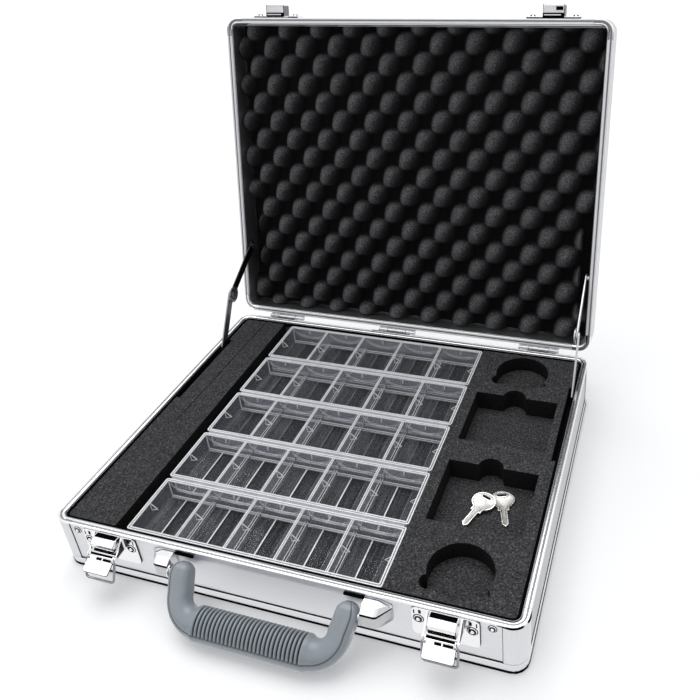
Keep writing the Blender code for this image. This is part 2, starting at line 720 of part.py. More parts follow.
def tray(index):
    back = TRAY_BACK - index * TRAY_PITCH
    front = back - TRAY_DEPTH
    name = "chip_tray_%d" % (index + 1)
    lip = prism(name, [rounded((TRAY_LEFT, front), (TRAY_RIGHT, back), TRAY_CORNER, 3)],
                TRAY_TOP - TRAY_LIP_HEIGHT, TRAY_TOP)
    body = prism(name + "_body", [rounded((TRAY_LEFT + TRAY_LIP, front + TRAY_LIP),
                                          (TRAY_RIGHT - TRAY_LIP, back - TRAY_LIP), TRAY_CORNER, 3)],
                 TRAY_BOTTOM, TRAY_TOP - TRAY_LIP_HEIGHT / 2)
    join(lip, body)
    wall = TRAY_LIP + TRAY_WALL
    inside = TRAY_WIDTH - 2 * wall
    cell = (inside - (TRAY_CELLS - 1) * TRAY_DIVIDER) / TRAY_CELLS
    floor = TRAY_BOTTOM + TRAY_FLOOR
    for i in range(TRAY_CELLS):
        left = TRAY_LEFT + wall + i * (cell + TRAY_DIVIDER)
        right = left + cell
        third = cell / 3
        trough = [(left, TRAY_TOP + OVERRUN), (left, floor + CRADLE_RISE), (left + third, floor),
                  (right - third, floor), (right, floor + CRADLE_RISE), (right, TRAY_TOP + OVERRUN)]
        cut(lip, prism(name + "_cell_%d" % (i + 1), [trough], front + wall, back - wall, "Y"))
    return finish_part(lip, CLEAR)


def trays():
    for index in range(TRAY_COUNT):
        pivot = pivot_empty("tray_%d_slide" % (index + 1), ZERO)
        carry(tray(index), pivot)


# Latches and catches

def ear(name, x, side):
    """A sloping cheek on the latch plate that holds one end of the lever's pin."""
    start = side * (LEVER_WIDTH / 2 + EAR_GAP)
    xs = sorted((x + start, x + start + side * EAR_THICK))
    y, z = -HALF_D - LEVER_OUT, LEVER_Z
    root = FACE_Y - GAP - PLATE_THICK / 2
    right = math.pi / 2
    outline = [(root, z - EAR_RADIUS), *arc((y, z), EAR_RADIUS, 3 * right, EAR_SLOPE), (root, HOUSING_HIGH)]
    return prism(name, [outline], xs[0], xs[1], "X")


def latch_plate(name, x):
    near = FACE_Y - GAP
    high = BASE_HEIGHT - RIM_HEIGHT - LATCH_BELOW_RIM
    low = high - LATCH_HEIGHT
    plate = prism(name, [rounded((x - LATCH_WIDTH / 2, low), (x + LATCH_WIDTH / 2, high), PLATE_CORNER)],
                  near - PLATE_THICK, near, "Y")
    out = -HALF_D - HOUSING_OUT
    root = near - PLATE_THICK / 2
    outline = [(root, HOUSING_LOW), (root, HOUSING_HIGH), (-HALF_D - HOUSING_TOP_OUT, HOUSING_HIGH),
               (out, HOUSING_RIDGE), (out, HOUSING_LOW)]
    join(plate, prism(name + "_housing", [outline], x - HOUSING_WIDTH / 2, x + HOUSING_WIDTH / 2, "X"))
    for side in (-1, 1):
        tag = "left" if side < 0 else "right"
        at = x + side * (LATCH_WIDTH / 2 - RIVET_IN)
        join(plate, ear(name + "_ear_" + tag, x, side),
             rivet(name + "_rivet_" + tag, at, near - PLATE_THICK, high - RIVET_DOWN))
    y = -HALF_D - LEVER_OUT
    reach = LEVER_WIDTH
    cut(plate, rod(name + "_pin_bore", (x - reach, y, LEVER_Z), (x + reach, y, LEVER_Z), EAR_PIN + RUNNING, 16))
    return finish_part(plate, CHROME)


def latch_lever(name, x, pivot):
    """Lever about its own pin: it hangs along -Z."""
    half = LEVER_WIDTH / 2
    thick = LEVER_THICK / 2
    flap = prism(name, [rounded((x - half, -LEVER_LENGTH), (x + half, 0), PLATE_CORNER / 2, 4)],
                 -thick, thick, "Y")
    short = half - 2 * GAP
    barrel = rod(name + "_barrel", (x - short, 0, 0), (x + short, 0, 0), LEVER_BARREL, 16)
    reach = half + EAR_GAP + EAR_THICK - GAP
    pin = rod(name + "_pin", (x - reach, 0, 0), (x + reach, 0, 0), EAR_PIN, 16)
    join(flap, barrel, pin)
    for side in (-1, 1):
        tag = "left" if side < 0 else "right"
        ends = sorted((x + side * (half - GAP), x + side * (half - LUG_WIDTH)))
        join(flap, rod(name + "_lug_" + tag, (ends[0], 0, -BAIL_OFFSET), (ends[1], 0, -BAIL_OFFSET),
                       LUG_RADIUS, 16))
    for side in (-1, 1):
        tag = "left" if side < 0 else "right"
        ends = sorted((x + side * (half + OVERRUN), x + side * (half - LUG_WIDTH + GAP)))
        cut(flap, rod(name + "_lug_bore_" + tag, (ends[0], 0, -BAIL_OFFSET), (ends[1], 0, -BAIL_OFFSET),
                      BAIL_WIRE + RUNNING, 16))
    high = -LEVER_BARREL - GAP
    low = high - LEVER_NOTCH_HEIGHT
    for side in (-1, 1):
        ends = sorted((x + side * LEVER_NOTCH_IN, x + side * (LEVER_NOTCH_IN + LEVER_NOTCH_WIDTH)))
        cut(flap, box(name + ("_notch_left" if side < 0 else "_notch_right"), (ends[0], -OVERRUN, low),
                      (ends[1], OVERRUN, high)))
    return carry(finish_part(flap, CHROME), pivot)


def latch_bail(name, x, pivot):
    """Wire bail about its own pivot: its legs hang along -Z."""
    half = LEVER_WIDTH / 2 + BAIL_CLEAR
    inner = LEVER_WIDTH / 2 - LUG_WIDTH + 2 * GAP
    right = math.pi / 2
    low = arc((half - BAIL_CORNER, -BAIL_LENGTH + BAIL_CORNER), BAIL_CORNER, 0, -right, 4)
    high = arc((half - BAIL_CORNER / 3, -BAIL_CORNER / 3), BAIL_CORNER / 3, right, 0, 3)
    side = [(inner, 0), *high, *low]
    path = side + [(-u, v) for u, v in reversed(side)]
    points = [(x + u, 0, v) for u, v in path]
    wire = tube(name, points, [BAIL_WIRE] * len(points), 2)
    return carry(finish_part(wire, CHROME), pivot)


def lid_catch(name, x, pivot):
    near = FACE_Y - GAP - SKIN_INSET
    high = CATCH_LOW + CATCH_HEIGHT
    plate = prism(name, [rounded((x - LATCH_WIDTH / 2, CATCH_LOW), (x + LATCH_WIDTH / 2, high),
                                 PLATE_CORNER / 2, 4)], near - PLATE_THICK, near, "Y")
    out = -HALF_D - HOOD_OUT
    root = near - PLATE_THICK / 2
    right = math.pi / 2
    half = HOOD_WIDTH / 2
    bend = (out + HOOD_ROUND, HOOD_HIGH - HOOD_ROUND)
    outline = [(root, CATCH_LOW), (root, HOOD_HIGH), *arc(bend, HOOD_ROUND, right, 2 * right, 4), (out, CATCH_LOW)]
    join(plate, prism(name + "_hood", [outline], x - half, x + half, "X"))
    cut(plate, box(name + "_mouth", (x - half + HOOD_WALL, out + HOOD_WALL, CATCH_LOW - OVERRUN),
                   (x + half - HOOD_WALL, near - PLATE_THICK - HOOD_WALL, CATCH_LOW + HOOD_MOUTH)))
    for side in (-1, 1):
        at = x + side * (LATCH_WIDTH / 2 - RIVET_IN)
        join(plate, rivet(name + "_rivet_" + ("left" if side < 0 else "right"), at, near - PLATE_THICK,
                          (CATCH_LOW + high) / 2))
    return carry(finish_part(plate, CHROME), pivot, HINGE)


def latches(lid_pivot):
    for side, x in LATCH_PLACES.items():
        latch_plate("latch_" + side + "_plate", x)
        tilt = LEVER_TILTS[side]
        pin = pivot_empty("latch_" + side + "_lever_pivot", (0, -HALF_D - LEVER_OUT, LEVER_Z), -tilt)
        latch_lever("latch_" + side + "_lever", x, pin)
        wire = pivot_empty("latch_" + side + "_bail_pivot", (0, 0, -BAIL_OFFSET), tilt - BAIL_TILTS[side], pin)
        latch_bail("latch_" + side + "_bail", x, wire)
        lid_catch("lid_catch_" + side, CATCH_PLACES[side], lid_pivot)


# Handle

def handle_bracket(name, side):
    high = BASE_HEIGHT - RIM_HEIGHT - LATCH_BELOW_RIM
    low = high - BRACKET_HEIGHT
    near = FACE_Y - GAP
    out = -HALF_D - BRACKET_OUT
    slope = BRACKET_OUT / 2
    outline = [(near, low), (near, high), (out + slope, high), (out, high - slope), (out, low + slope),
               (out + slope, low)]
    inner, outer = side * BRACKET_INNER, side * (BRACKET_INNER + BRACKET_WIDTH)
    bracket = prism(name, [outline], *sorted((inner, outer)), axis="X")
    ridge = side * (BRACKET_INNER + BRACKET_FRONT_WIDTH)
    plan = [(inner, out), (ridge, out), (outer, near), (inner, near)]
    combine(bracket, prism(name + "_taper", [plan if side > 0 else plan[::-1]], low - OVERRUN, high + OVERRUN),
            "INTERSECT")
    slant = BRACKET_CHAMFER
    face = [(inner, low), (outer - side * slant, low), (outer, low + slant), (outer, high - slant),
            (outer - side * slant, high), (inner, high)]
    combine(bracket, prism(name + "_facets", [face if side > 0 else face[::-1]], out - OVERRUN, near + OVERRUN, "Y"),
            "INTERSECT")
    y = -HALF_D - HANDLE_OUT
    pin = rod(name + "_pin", (side * (BRACKET_INNER + OVERRUN), y, HANDLE_Z),
              (side * (BRACKET_INNER - BRACKET_PIN_REACH), y, HANDLE_Z), BRACKET_PIN, 20)
    return finish_part(join(bracket, pin), CHROME)


def handle_path():
    """Centre line and radii of one half, from the pivot's end to the grip's middle."""
    points = [(x, -reach) for x, reach, _ in HANDLE_ARM]
    radii = [radius for _, _, radius in HANDLE_ARM]
    turn = HANDLE_CORNER
    steps = len(HANDLE_BEND_RADII) - 1
    points += arc((HANDLE_BEND_X - turn, -HANDLE_LENGTH + turn), turn, 0, -math.pi / 2, steps)
    radii += list(HANDLE_BEND_RADII)
    step = GRIP_HALF / GRIP_RIBS
    for i in range(GRIP_RIBS + 1):
        points.append((GRIP_HALF - i * step, -HANDLE_LENGTH))
        radii.append(HANDLE_GRIP_RADIUS - (RIB_DEPTH if i % 2 else 0))
    return points, radii


def handle():
    """Handle about its pivot line: it reaches out along -Y."""
    points, radii = handle_path()
    mirrored = [(-x, y) for x, y in reversed(points[:-1])]
    path = [(x, y, 0) for x, y in points + mirrored]
    grip = tube("handle", path, radii + radii[:-1][::-1], 4)
    for side in (-1, 1):
        xs = sorted((side * (BRACKET_INNER + OVERRUN), side * (BRACKET_INNER - BRACKET_PIN_REACH - GAP)))
        cut(grip, rod("handle_bore_" + ("left" if side < 0 else "right"), (xs[0], 0, 0), (xs[1], 0, 0),
                      BRACKET_PIN + RUNNING, 20))
    pivot = pivot_empty("handle_pivot", (0, -HALF_D - HANDLE_OUT, HANDLE_Z), HANDLE_TILT)
    carry(finish_part(grip, GREY_PLASTIC), pivot)
    handle_bracket("handle_left_bracket", -1)
    handle_bracket("handle_right_bracket", 1)


# Lid stays

def lid_point(reach, depth):
    """A point of the open lid, by its reach from the hinge and its depth behind the seam face."""
    up = (math.sin(LID_LEAN), math.cos(LID_LEAN))
    return (HINGE.y + up[0] * reach + up[1] * depth, HINGE.z + up[1] * reach - up[0] * depth)


def stay(side):
    tag = "left" if side < 0 else "right"
    wall = INNER_W
    lower_far = wall - STAY_WALL_GAP
    lower_near = lower_far - STAY_THICK
    upper_far = lower_near - STAY_BETWEEN
    upper_near = upper_far - STAY_THICK
    disc_far = upper_near - GAP
    disc_near = disc_far - ELBOW_DISC_THICK
    lid_pin = lid_point(STAY_LID_REACH, STAY_LID_DEPTH)

    def plate(name, start, end, near, far):
        return prism(name, [capsule(start, end, STAY_HALF_WIDTH)], *sorted((side * near, side * far)), axis="X")

    def pin(name, at, near, far, radius, sides=20):
        return rod(name, (side * near, *at), (side * far, *at), radius, sides)

    half = STAY_THICK / 2
    lower = plate("stay_" + tag + "_lower_arm", STAY_BASE, STAY_ELBOW, lower_near, lower_far)
    join(lower, pin("stay_" + tag + "_base_pin", STAY_BASE, lower_far - half, wall - GAP, STAY_PIN),
         pin("stay_" + tag + "_elbow_pin", STAY_ELBOW, disc_far - half, lower_near + half, STAY_PIN),
         pin("stay_" + tag + "_disc", STAY_ELBOW, disc_near, disc_far, ELBOW_DISC, 28))
    upper = plate("stay_" + tag + "_upper_arm", STAY_ELBOW, lid_pin, upper_near, upper_far)
    cut(upper, pin("stay_" + tag + "_elbow_bore", STAY_ELBOW, upper_near - OVERRUN, upper_far + OVERRUN,
                   STAY_PIN + RUNNING))
    join(upper, pin("stay_" + tag + "_lid_pin", lid_pin, upper_far - half, wall - GAP, STAY_PIN))

    base_pivot = pivot_empty("stay_" + tag + "_base_pivot", (0, *STAY_BASE))
    elbow = (0, STAY_ELBOW[0] - STAY_BASE[0], STAY_ELBOW[1] - STAY_BASE[1])
    elbow_pivot = pivot_empty("stay_" + tag + "_elbow_pivot", elbow, 0.0, base_pivot)
    carry(finish_part(lower, STEEL), base_pivot, (0, *STAY_BASE))
    carry(finish_part(upper, STEEL), elbow_pivot, (0, *STAY_ELBOW))


# Keys

def key(name, at, turn, height, tip_down, pivot):
    """A flat key: bow at the origin, blade towards -Y, then turned and placed."""
    right = math.pi / 2
    lean = math.asin(KEY_NECK_HALF / KEY_BOW_HALF)
    bow = [(KEY_BOW_HALF * x, KEY_BOW_LONG * y) for x, y in arc((0, 0), 1, lean - right, 3 * right - lean, 22)]
    neck = -KEY_BOW_LONG - KEY_NECK_LENGTH
    tip = neck - KEY_BLADE_LENGTH
    blade = [(-KEY_NECK_HALF, neck), (-KEY_BLADE_HALF, neck), (-KEY_BLADE_HALF, tip + KEY_BLADE_HALF),
             (0, tip), (KEY_BLADE_HALF, tip + KEY_BLADE_HALF), (KEY_BLADE_HALF, neck),
             (KEY_NECK_HALF, neck)]
    slot = capsule((-KEY_HOLE_LONG + KEY_HOLE_HALF, KEY_BOW_LONG / 2),
                   (KEY_HOLE_LONG - KEY_HOLE_HALF, KEY_BOW_LONG / 2), KEY_HOLE_HALF, 6)
    flat = finish_part(prism(name, [bow + blade, slot[::-1]], 0, KEY_THICK), NICKEL)
    place = pivot_empty(name + "_place", (*at, height), 0.0, pivot)
    place.rotation_euler = (tip_down, 0, turn)
    return carry(flat, place)


def keys():
    floor = FOAM_TOP - CARD_DEEP + GAP
    pivot = pivot_empty("keys_slide", ZERO)
    key("key_under", UNDER_KEY_AT, UNDER_KEY_TURN, floor, 0.0, pivot)
    key("key_over", OVER_KEY_AT, OVER_KEY_TURN, floor + KEY_THICK + KEY_STACK_GAP, OVER_KEY_TIP_DOWN, pivot)


def main():
    global PARTS, CUTTERS
    empty_the_scene()
    PARTS = new_collection("poker_chip_case")
    CUTTERS = new_collection("cutters")
    lid_pivot = pivot_empty("lid_hinge_pivot", HINGE, -LID_SWING)
    base_shell()
    lid_shell(lid_pivot)
    hinges(lid_pivot)
    left_foam()
    right_foam()
    floor_foam()
    egg_crate_foam(lid_pivot)
    trays()
    latches(lid_pivot)
    handle()
    stay(-1)
    stay(1)
    keys()


main()
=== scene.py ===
import math

import bmesh
import bpy
from mathutils import Matrix, Vector, noise

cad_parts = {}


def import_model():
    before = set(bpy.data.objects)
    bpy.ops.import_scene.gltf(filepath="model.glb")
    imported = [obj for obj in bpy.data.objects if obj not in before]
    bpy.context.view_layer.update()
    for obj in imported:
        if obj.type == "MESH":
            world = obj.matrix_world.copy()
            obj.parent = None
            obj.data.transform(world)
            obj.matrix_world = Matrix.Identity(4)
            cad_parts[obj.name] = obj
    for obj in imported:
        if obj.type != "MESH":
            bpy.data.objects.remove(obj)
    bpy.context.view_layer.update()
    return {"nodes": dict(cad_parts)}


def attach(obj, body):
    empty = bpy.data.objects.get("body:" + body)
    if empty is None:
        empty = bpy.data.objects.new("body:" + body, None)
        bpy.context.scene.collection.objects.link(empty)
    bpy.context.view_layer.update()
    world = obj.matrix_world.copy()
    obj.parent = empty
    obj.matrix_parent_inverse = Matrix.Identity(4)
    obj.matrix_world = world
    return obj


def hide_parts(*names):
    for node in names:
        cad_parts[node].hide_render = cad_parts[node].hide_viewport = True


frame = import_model()
NODES = frame["nodes"]

# Sizes shared with the solids, in metres
HALF_W = 0.190
HALF_D = 0.155
BASE_TOP = 0.048
LID_LOW = 0.0484
LID_TOP = 0.078
CORNER = 0.012
WALL = 0.0058
CAP_REACH = 0.0175
HINGE = Vector((0, 0.158, 0.0482))
LID_SWING = math.radians(102.3)
LID_TURN = (Matrix.Translation(HINGE) @ Matrix.Rotation(-LID_SWING, 4, "X") @ Matrix.Translation(-HINGE))
SIDES = {"front": (0, -1), "back": (0, 1), "left": (-1, 0), "right": (1, 0)}
CORNERS = {"front_left": (-1, -1), "front_right": (1, -1), "back_left": (-1, 1), "back_right": (1, 1)}
CASE_PLAN = ((-HALF_W, -HALF_D), (HALF_W, HALF_D))
RIGHT = math.pi / 2


# Colours and materials

def srgb(*shades):
    """The linear colour of shades from 0 to 255."""
    shares = [shade / 255 for shade in shades]
    return tuple(v / 12.92 if v <= 0.04045 else ((v + 0.055) / 1.055) ** 2.4 for v in shares)


def dimmed(colour, share):
    return tuple(min(c * share, 1) for c in colour)


def feed(tree, node, inputs):
    """Give a node's inputs their values, or the outputs of other nodes."""
    for socket, value in inputs.items():
        if isinstance(value, bpy.types.NodeSocket):
            tree.links.new(value, node.inputs[socket])
        else:
            node.inputs[socket].default_value = value


def add_node(tree, kind, inputs=None):
    node = tree.nodes.new(kind)
    feed(tree, node, inputs or {})
    return node


def combined(tree, kind, a, b):
    """Two numbers put together by a named operation."""
    node = add_node(tree, "ShaderNodeMath", {0: a, 1: b})
    node.operation = kind
    return node.outputs[0]


def mixed(tree, factor, a, b):
    """Colour a, giving way to colour b as the factor grows."""
    node = add_node(tree, "ShaderNodeMix")
    node.data_type = "RGBA"
    feed(tree, node, {0: factor, 6: a, 7: b})
    return node.outputs[2]


def blended(tree, factor, a, b):
    """Shader a, giving way to shader b as the factor grows."""
    return add_node(tree, "ShaderNodeMixShader", {"Fac": factor, 1: a, 2: b}).outputs[0]


class Paint:
    """A material and short calls for the nodes used here. Places are metres on the object."""

    def __init__(self, name, colour, roughness, metallic=0.0):
        self.mat = bpy.data.materials.new(name)
        self.mat.use_nodes = True
        self.tree = self.mat.node_tree
        self.shader = self.tree.nodes["Principled BSDF"]
        self.place = self.node("ShaderNodeTexCoord").outputs["Object"]
        inputs = {"Base Color": (*colour, 1), "Roughness": roughness, "Metallic": metallic}
        feed(self.tree, self.shader, inputs)

    def node(self, kind, inputs=None):
        return add_node(self.tree, kind, inputs)

    def set(self, socket, value):
        feed(self.tree, self.shader, {socket: value})

    def noise(self, size, detail, rough, stretch=(1, 1, 1)):
        """Grey noise with features of about this size, stretched by axis."""
        place = self.node("ShaderNodeMapping", {"Vector": self.place, "Scale": stretch}).outputs["Vector"]
        return self.node("ShaderNodeTexNoise", {"Vector": place, "Scale": 1 / size, "Detail": detail,
                                                "Roughness": rough}).outputs["Fac"]

    def cells(self, size):
        node = self.node("ShaderNodeTexVoronoi", {"Vector": self.place, "Scale": 1 / size})
        return node.outputs["Distance"]

    def ramp(self, factor, *stops):
        """Two colours at two places of the factor."""
        node = self.node("ShaderNodeValToRGB", {"Fac": factor})
        for element, (at, colour) in zip(node.color_ramp.elements, stops):
            element.position = at
            element.color = (*colour, 1)
        return node.outputs["Color"]

    def grey(self, factor, low, high, start=0.3, end=0.7):
        """The factor between start and end, spread from low to high."""
        return self.node("ShaderNodeMapRange", {"Value": factor, "From Min": start, "From Max": end,
                                                "To Min": low, "To Max": high}).outputs["Result"]

    def kept(self, low, high):
        """The painted light and shade kept on the mesh, spread from low to high."""
        node = self.node("ShaderNodeAttribute")
        node.attribute_name = "painted_shading"
        return self.grey(node.outputs["Fac"], low, high, 0.0, 1.0)

    def mix(self, factor, a, b):
        """A colour or a node's output, giving way to a colour."""
        return mixed(self.tree, factor, a if isinstance(a, bpy.types.NodeSocket) else (*a, 1), (*b, 1))

    def bump(self, height, distance, strength, under=None):
        """Relief of this depth, over another bump where one is given."""
        inputs = {"Height": height, "Distance": distance, "Strength": strength}
        if under is not None:
            inputs["Normal"] = under
        normal = self.node("ShaderNodeBump", inputs).outputs["Normal"]
        self.set("Normal", normal)
        return normal


def brushed(name, shade, roughness, along):
    """Satin aluminium with fine lines along one axis, and soft wear."""
    colour = srgb(*shade)
    paint = Paint(name, colour, roughness, 1.0)
    lines = paint.noise(0.00045, 2, 0.6, [0.03 if axis == along else 1.0 for axis in "XYZ"])
    cloud = paint.noise(0.05, 3, 0.5, [0.4 if axis == along else 1.0 for axis in "XYZ"])
    low = dimmed(colour, 0.90)
    base = paint.ramp(lines, (0.25, low), (0.75, dimmed(colour, 1.06)))
    paint.set("Base Color", paint.mix(paint.grey(cloud, 0.0, 0.35), base, dimmed(low, 0.93)))
    paint.set("Roughness", paint.grey(lines, roughness - 0.05, roughness + 0.06))
    paint.bump(lines, 0.00003, 0.35)
    return paint.mat


def polished(name, shade, roughness, dirt, size, swirl=0.3, metallic=1.0):
    """Bright metal with faint swirls and a few duller patches."""
    colour = srgb(*shade)
    paint = Paint(name, colour, roughness, metallic)
    patch = paint.noise(size, 4, 0.6)
    paint.set("Base Color", paint.mix(paint.grey(patch, 0.0, dirt * 4), colour, dimmed(colour, 0.72)))
    paint.set("Roughness", paint.grey(patch, roughness, roughness + dirt))
    paint.bump(paint.noise(size / 3, 2, 0.5), 0.00002, swirl)
    return paint.mat


def foam_paint(name, dark, light, fleck, walls=0.0, painted_shading=False):
    """Open-cell foam: fine pores, pale flecks, painted shade on its upright faces, or painted light and shade
    kept on the mesh.
    """
    paint = Paint(name, srgb(*dark), 0.95)
    fine = paint.noise(0.0016, 2, 0.6)
    broad = paint.noise(0.010, 3, 0.6)
    base = paint.ramp(fine, (0.36, srgb(*dark)), (0.64, srgb(*light)))
    base = paint.mix(paint.grey(broad, 0.0, 0.35), base, srgb(*dark))
    flecks = paint.grey(paint.noise(0.0013, 1, 0.5), 0.0, 1.0, 0.60, 0.70)
    base = paint.mix(flecks, base, srgb(*fleck))
    if walls:
        # Upright faces painted near black: painted shade on the foam's sides.
        facing = paint.node("ShaderNodeNewGeometry").outputs["True Normal"]
        upward = paint.node("ShaderNodeSeparateXYZ", {"Vector": facing}).outputs["Z"]
        base = paint.mix(paint.grey(upward, walls, 0.0, 0.2, 0.9), base, srgb(4, 4, 5))
    # Painted light and shade kept on the mesh: near black where it is low.
    if painted_shading:
        base = paint.mix(paint.kept(1.0, 0.0), base, srgb(5, 5, 6))
    paint.set("Base Color", base)
    paint.set("Specular IOR Level", 0.15)
    paint.bump(paint.cells(0.0011), 0.0005, 0.5, paint.bump(fine, 0.0006, 0.6))
    return paint.mat


def plastic(name, shade, roughness):
    """Moulded plastic with a fine grain, and painted shade where the level kept on the mesh is high."""
    colour = srgb(*shade)
    paint = Paint(name, colour, roughness)
    broad = paint.noise(0.02, 3, 0.5)
    base = paint.mix(paint.grey(broad, 0.0, 0.5), colour, dimmed(colour, 0.86))
    paint.set("Base Color", paint.mix(paint.kept(0.0, 1.0), base, srgb(24, 27, 30)))
    paint.set("Roughness", paint.grey(broad, roughness - 0.04, roughness + 0.05))
    paint.bump(paint.noise(0.0005, 2, 0.5), 0.00004, 0.4)
    return paint.mat


def clear(name, shade, alpha, roughness, streaks=False):
    """Clear moulded plastic: thin sheets that tint what is behind them and catch light."""
    colour = srgb(*shade)
    paint = Paint(name, colour, roughness)
    haze = paint.noise(0.0016, 3, 0.6, (1, 0.04, 1)) if streaks else paint.noise(0.006, 3, 0.6)
    spread = 0.9 if streaks else 0.15
    paint.set("Base Color", paint.mix(paint.grey(haze, 0.0, 0.4), colour, dimmed(colour, 0.9)))
    paint.set("Alpha", paint.grey(haze, alpha * (1 - spread), alpha * (1 + spread)))
    paint.set("IOR", 1.49)
    paint.set("Specular IOR Level", 0.6)
    return paint.mat


def void():
    """The unlit inside of a slot or a shadow gap."""
    paint = Paint("shadow_gap", srgb(9, 9, 10), 1.0)
    dust = paint.grey(paint.noise(0.002, 3, 0.6), 0.0, 1.0)
    paint.set("Base Color", paint.mix(dust, srgb(6, 6, 7), srgb(14, 14, 15)))
    paint.set("Specular IOR Level", 0.0)
    return paint.mat


# Copies of one aluminium in different shades, painted light and shade: the front and back panels, rail and
# posts lighter, as lit, the side panels darker, as shaded.
ALU_X = brushed("aluminium_along_x", (212, 213, 215), 0.36, "X")
FRONT = brushed("aluminium_front", (228, 229, 233), 0.42, "X")
ALU_Y = brushed("aluminium_along_y", (182, 183, 186), 0.36, "Y")
POST = brushed("aluminium_posts", (226, 227, 230), 0.40, "Z")
BRIGHT = polished("bright_rim", (238, 239, 241), 0.24, 0.04, 0.02, 0.05)
CHROME = polished("chrome", (244, 244, 246), 0.07, 0.04, 0.003)
VOID = void()
# A grey for painted shade: in the rim grooves, on a catch's right cheek and on the slopes round the keys'
# faces.
SHADE_GREY = polished("painted_shade_grey", (132, 133, 136), 0.4, 0.1, 0.02, 0.05)
LID_BRIGHT = polished("bright_lid_rim", (246, 246, 248), 0.34, 0.04, 0.02, 0.05, 0.35)
# A darker chrome for painted shade: the hinge leaves and the brackets' lower facets.
SHADED_CHROME = polished("shaded_chrome", (196, 197, 200), 0.24, 0.08, 0.003)
NICKEL = polished("nickel", (240, 238, 233), 0.22, 0.10, 0.003)
SUNK_NICKEL = polished("sunk_nickel", (206, 204, 200), 0.26, 0.22, 0.004)
WIRE_STEEL = polished("bright_wire", (150, 151, 154), 0.16, 0.08, 0.002)
# One steel in copies of different shade, painted light and shade: shaded for the left stay and for painted
# shadows on the latches and catches, half shaded for the left lower arm, lit for the right stay.
SHADED_STEEL = polished("shaded_steel", (52, 52, 54), 0.3, 0.12, 0.003)
HALF_SHADED_STEEL = polished("half_shaded_steel", (150, 150, 154), 0.26, 0.12, 0.003)
LIT_STEEL = polished("lit_steel", (196, 196, 200), 0.28, 0.1, 0.003)
FOAM = foam_paint("charcoal_foam", (40, 40, 41), (80, 80, 82), (106, 106, 108), 0.9)
LEFT_FOAM = foam_paint("charcoal_foam_left", (38, 38, 39), (78, 78, 80), (102, 102, 104), 0.85)
FLOOR_FOAM = foam_paint("floor_foam", (14, 14, 15), (54, 54, 56), (84, 84, 87), 0.8)
EGG = foam_paint("egg_crate_foam", (60, 60, 62), (110, 110, 113), (122, 122, 125), 0.0, True)
GREY = plastic("blue_grey_plastic", (146, 153, 160), 0.24)
SHEET = clear("clear_sheet", (222, 224, 236), 0.025, 0.05, True)
HAZE = clear("clear_haze", (232, 234, 244), 0.05, 0.05, True)
WALL_SHEET = clear("clear_wall", (232, 235, 246), 0.13, 0.05)
# Near-opaque white for the trays' rims, ribs, lines and corner posts: painted highlights where clear plastic
# catches light.
EDGE_HIGHLIGHT = clear("clear_edge_highlight", (253, 253, 255), 0.96, 0.16)
LIP = clear("clear_lip", (232, 235, 246), 0.34, 0.08)


# Mesh helpers

def clamp(value):
    return min(max(value, 0), 1)


def smoothstep(value):
    share = clamp(value)
    return share * share * (3 - 2 * share)


def extent(points):
    """The lowest and the highest corner round some points."""
    points = list(points)
    return [Vector([pick(p[axis] for p in points) for axis in range(3)]) for pick in (min, max)]


def linked(name, data):
    made = bpy.data.objects.new(name, data)
    bpy.context.scene.collection.objects.link(made)
    return made


def new_object(name, bm, body, material, replaced=(), smooth=35):
    """A piece that rides on a body, and the solids whose place it takes."""
    mesh = bpy.data.meshes.new(name)
    bm.normal_update()
    bm.to_mesh(mesh)
    bm.free()
    made = linked(name, mesh)
    for mat in material if isinstance(material, list) else [material]:
        mesh.materials.append(mat)
    if smooth:
        mesh.shade_smooth()
        mesh.set_sharp_from_angle(angle=math.radians(smooth))
    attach(made, body)
    if replaced:
        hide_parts(*replaced)
    return made


def bevelled(made, width, segments=2, angle=30):
    modifier = made.modifiers.new("edges", "BEVEL")
    modifier.width = width
    modifier.segments = segments
    modifier.limit_method = "ANGLE"
    modifier.angle_limit = math.radians(angle)
    return made


def node_mesh(node):
    """A solid's mesh, with its flat parts joined."""
    bm = bmesh.new()
    bm.from_mesh(NODES[node].data)
    bmesh.ops.remove_doubles(bm, verts=bm.verts, dist=0.00001)
    bmesh.ops.dissolve_limit(bm, angle_limit=math.radians(0.6), verts=bm.verts, edges=bm.edges)
    return bm


def softened(node, body, material, width=0.0003):
    """A piece with its solid's shape and real rounded edges."""
    return bevelled(new_object(node + "_soft", node_mesh(node), body, material, (node,)), width)


def marked(verts, material):
    for face in {face for vert in verts for face in vert.link_faces}:
        face.material_index = material


def add_box(bm, start, end, material=0):
    """A box between two opposite corners."""
    size = [abs(b - a) for a, b in zip(start, end)]
    middle = [(a + b) / 2 for a, b in zip(start, end)]
    made = bmesh.ops.create_cube(bm, size=1, matrix=Matrix.Translation(middle) @ Matrix.Diagonal((*size, 1)))
    marked(made["verts"], material)


def add_rod(bm, start, end, radius, sides=16, end_radius=None, material=0):
    start, end = Vector(start), Vector(end)
    along = end - start
    turn = along.to_track_quat("Z", "Y").to_matrix().to_4x4()
    made = bmesh.ops.create_cone(bm, cap_ends=True, segments=sides, radius1=radius,
                                 radius2=radius if end_radius is None else end_radius, depth=along.length,
                                 matrix=Matrix.Translation((start + end) / 2) @ turn)
    marked(made["verts"], material)


def arc(centre, radius, start, end, steps=6):
    return [(centre[0] + radius * math.cos(start + (end - start) * i / steps),
             centre[1] + radius * math.sin(start + (end - start) * i / steps)) for i in range(steps + 1)]


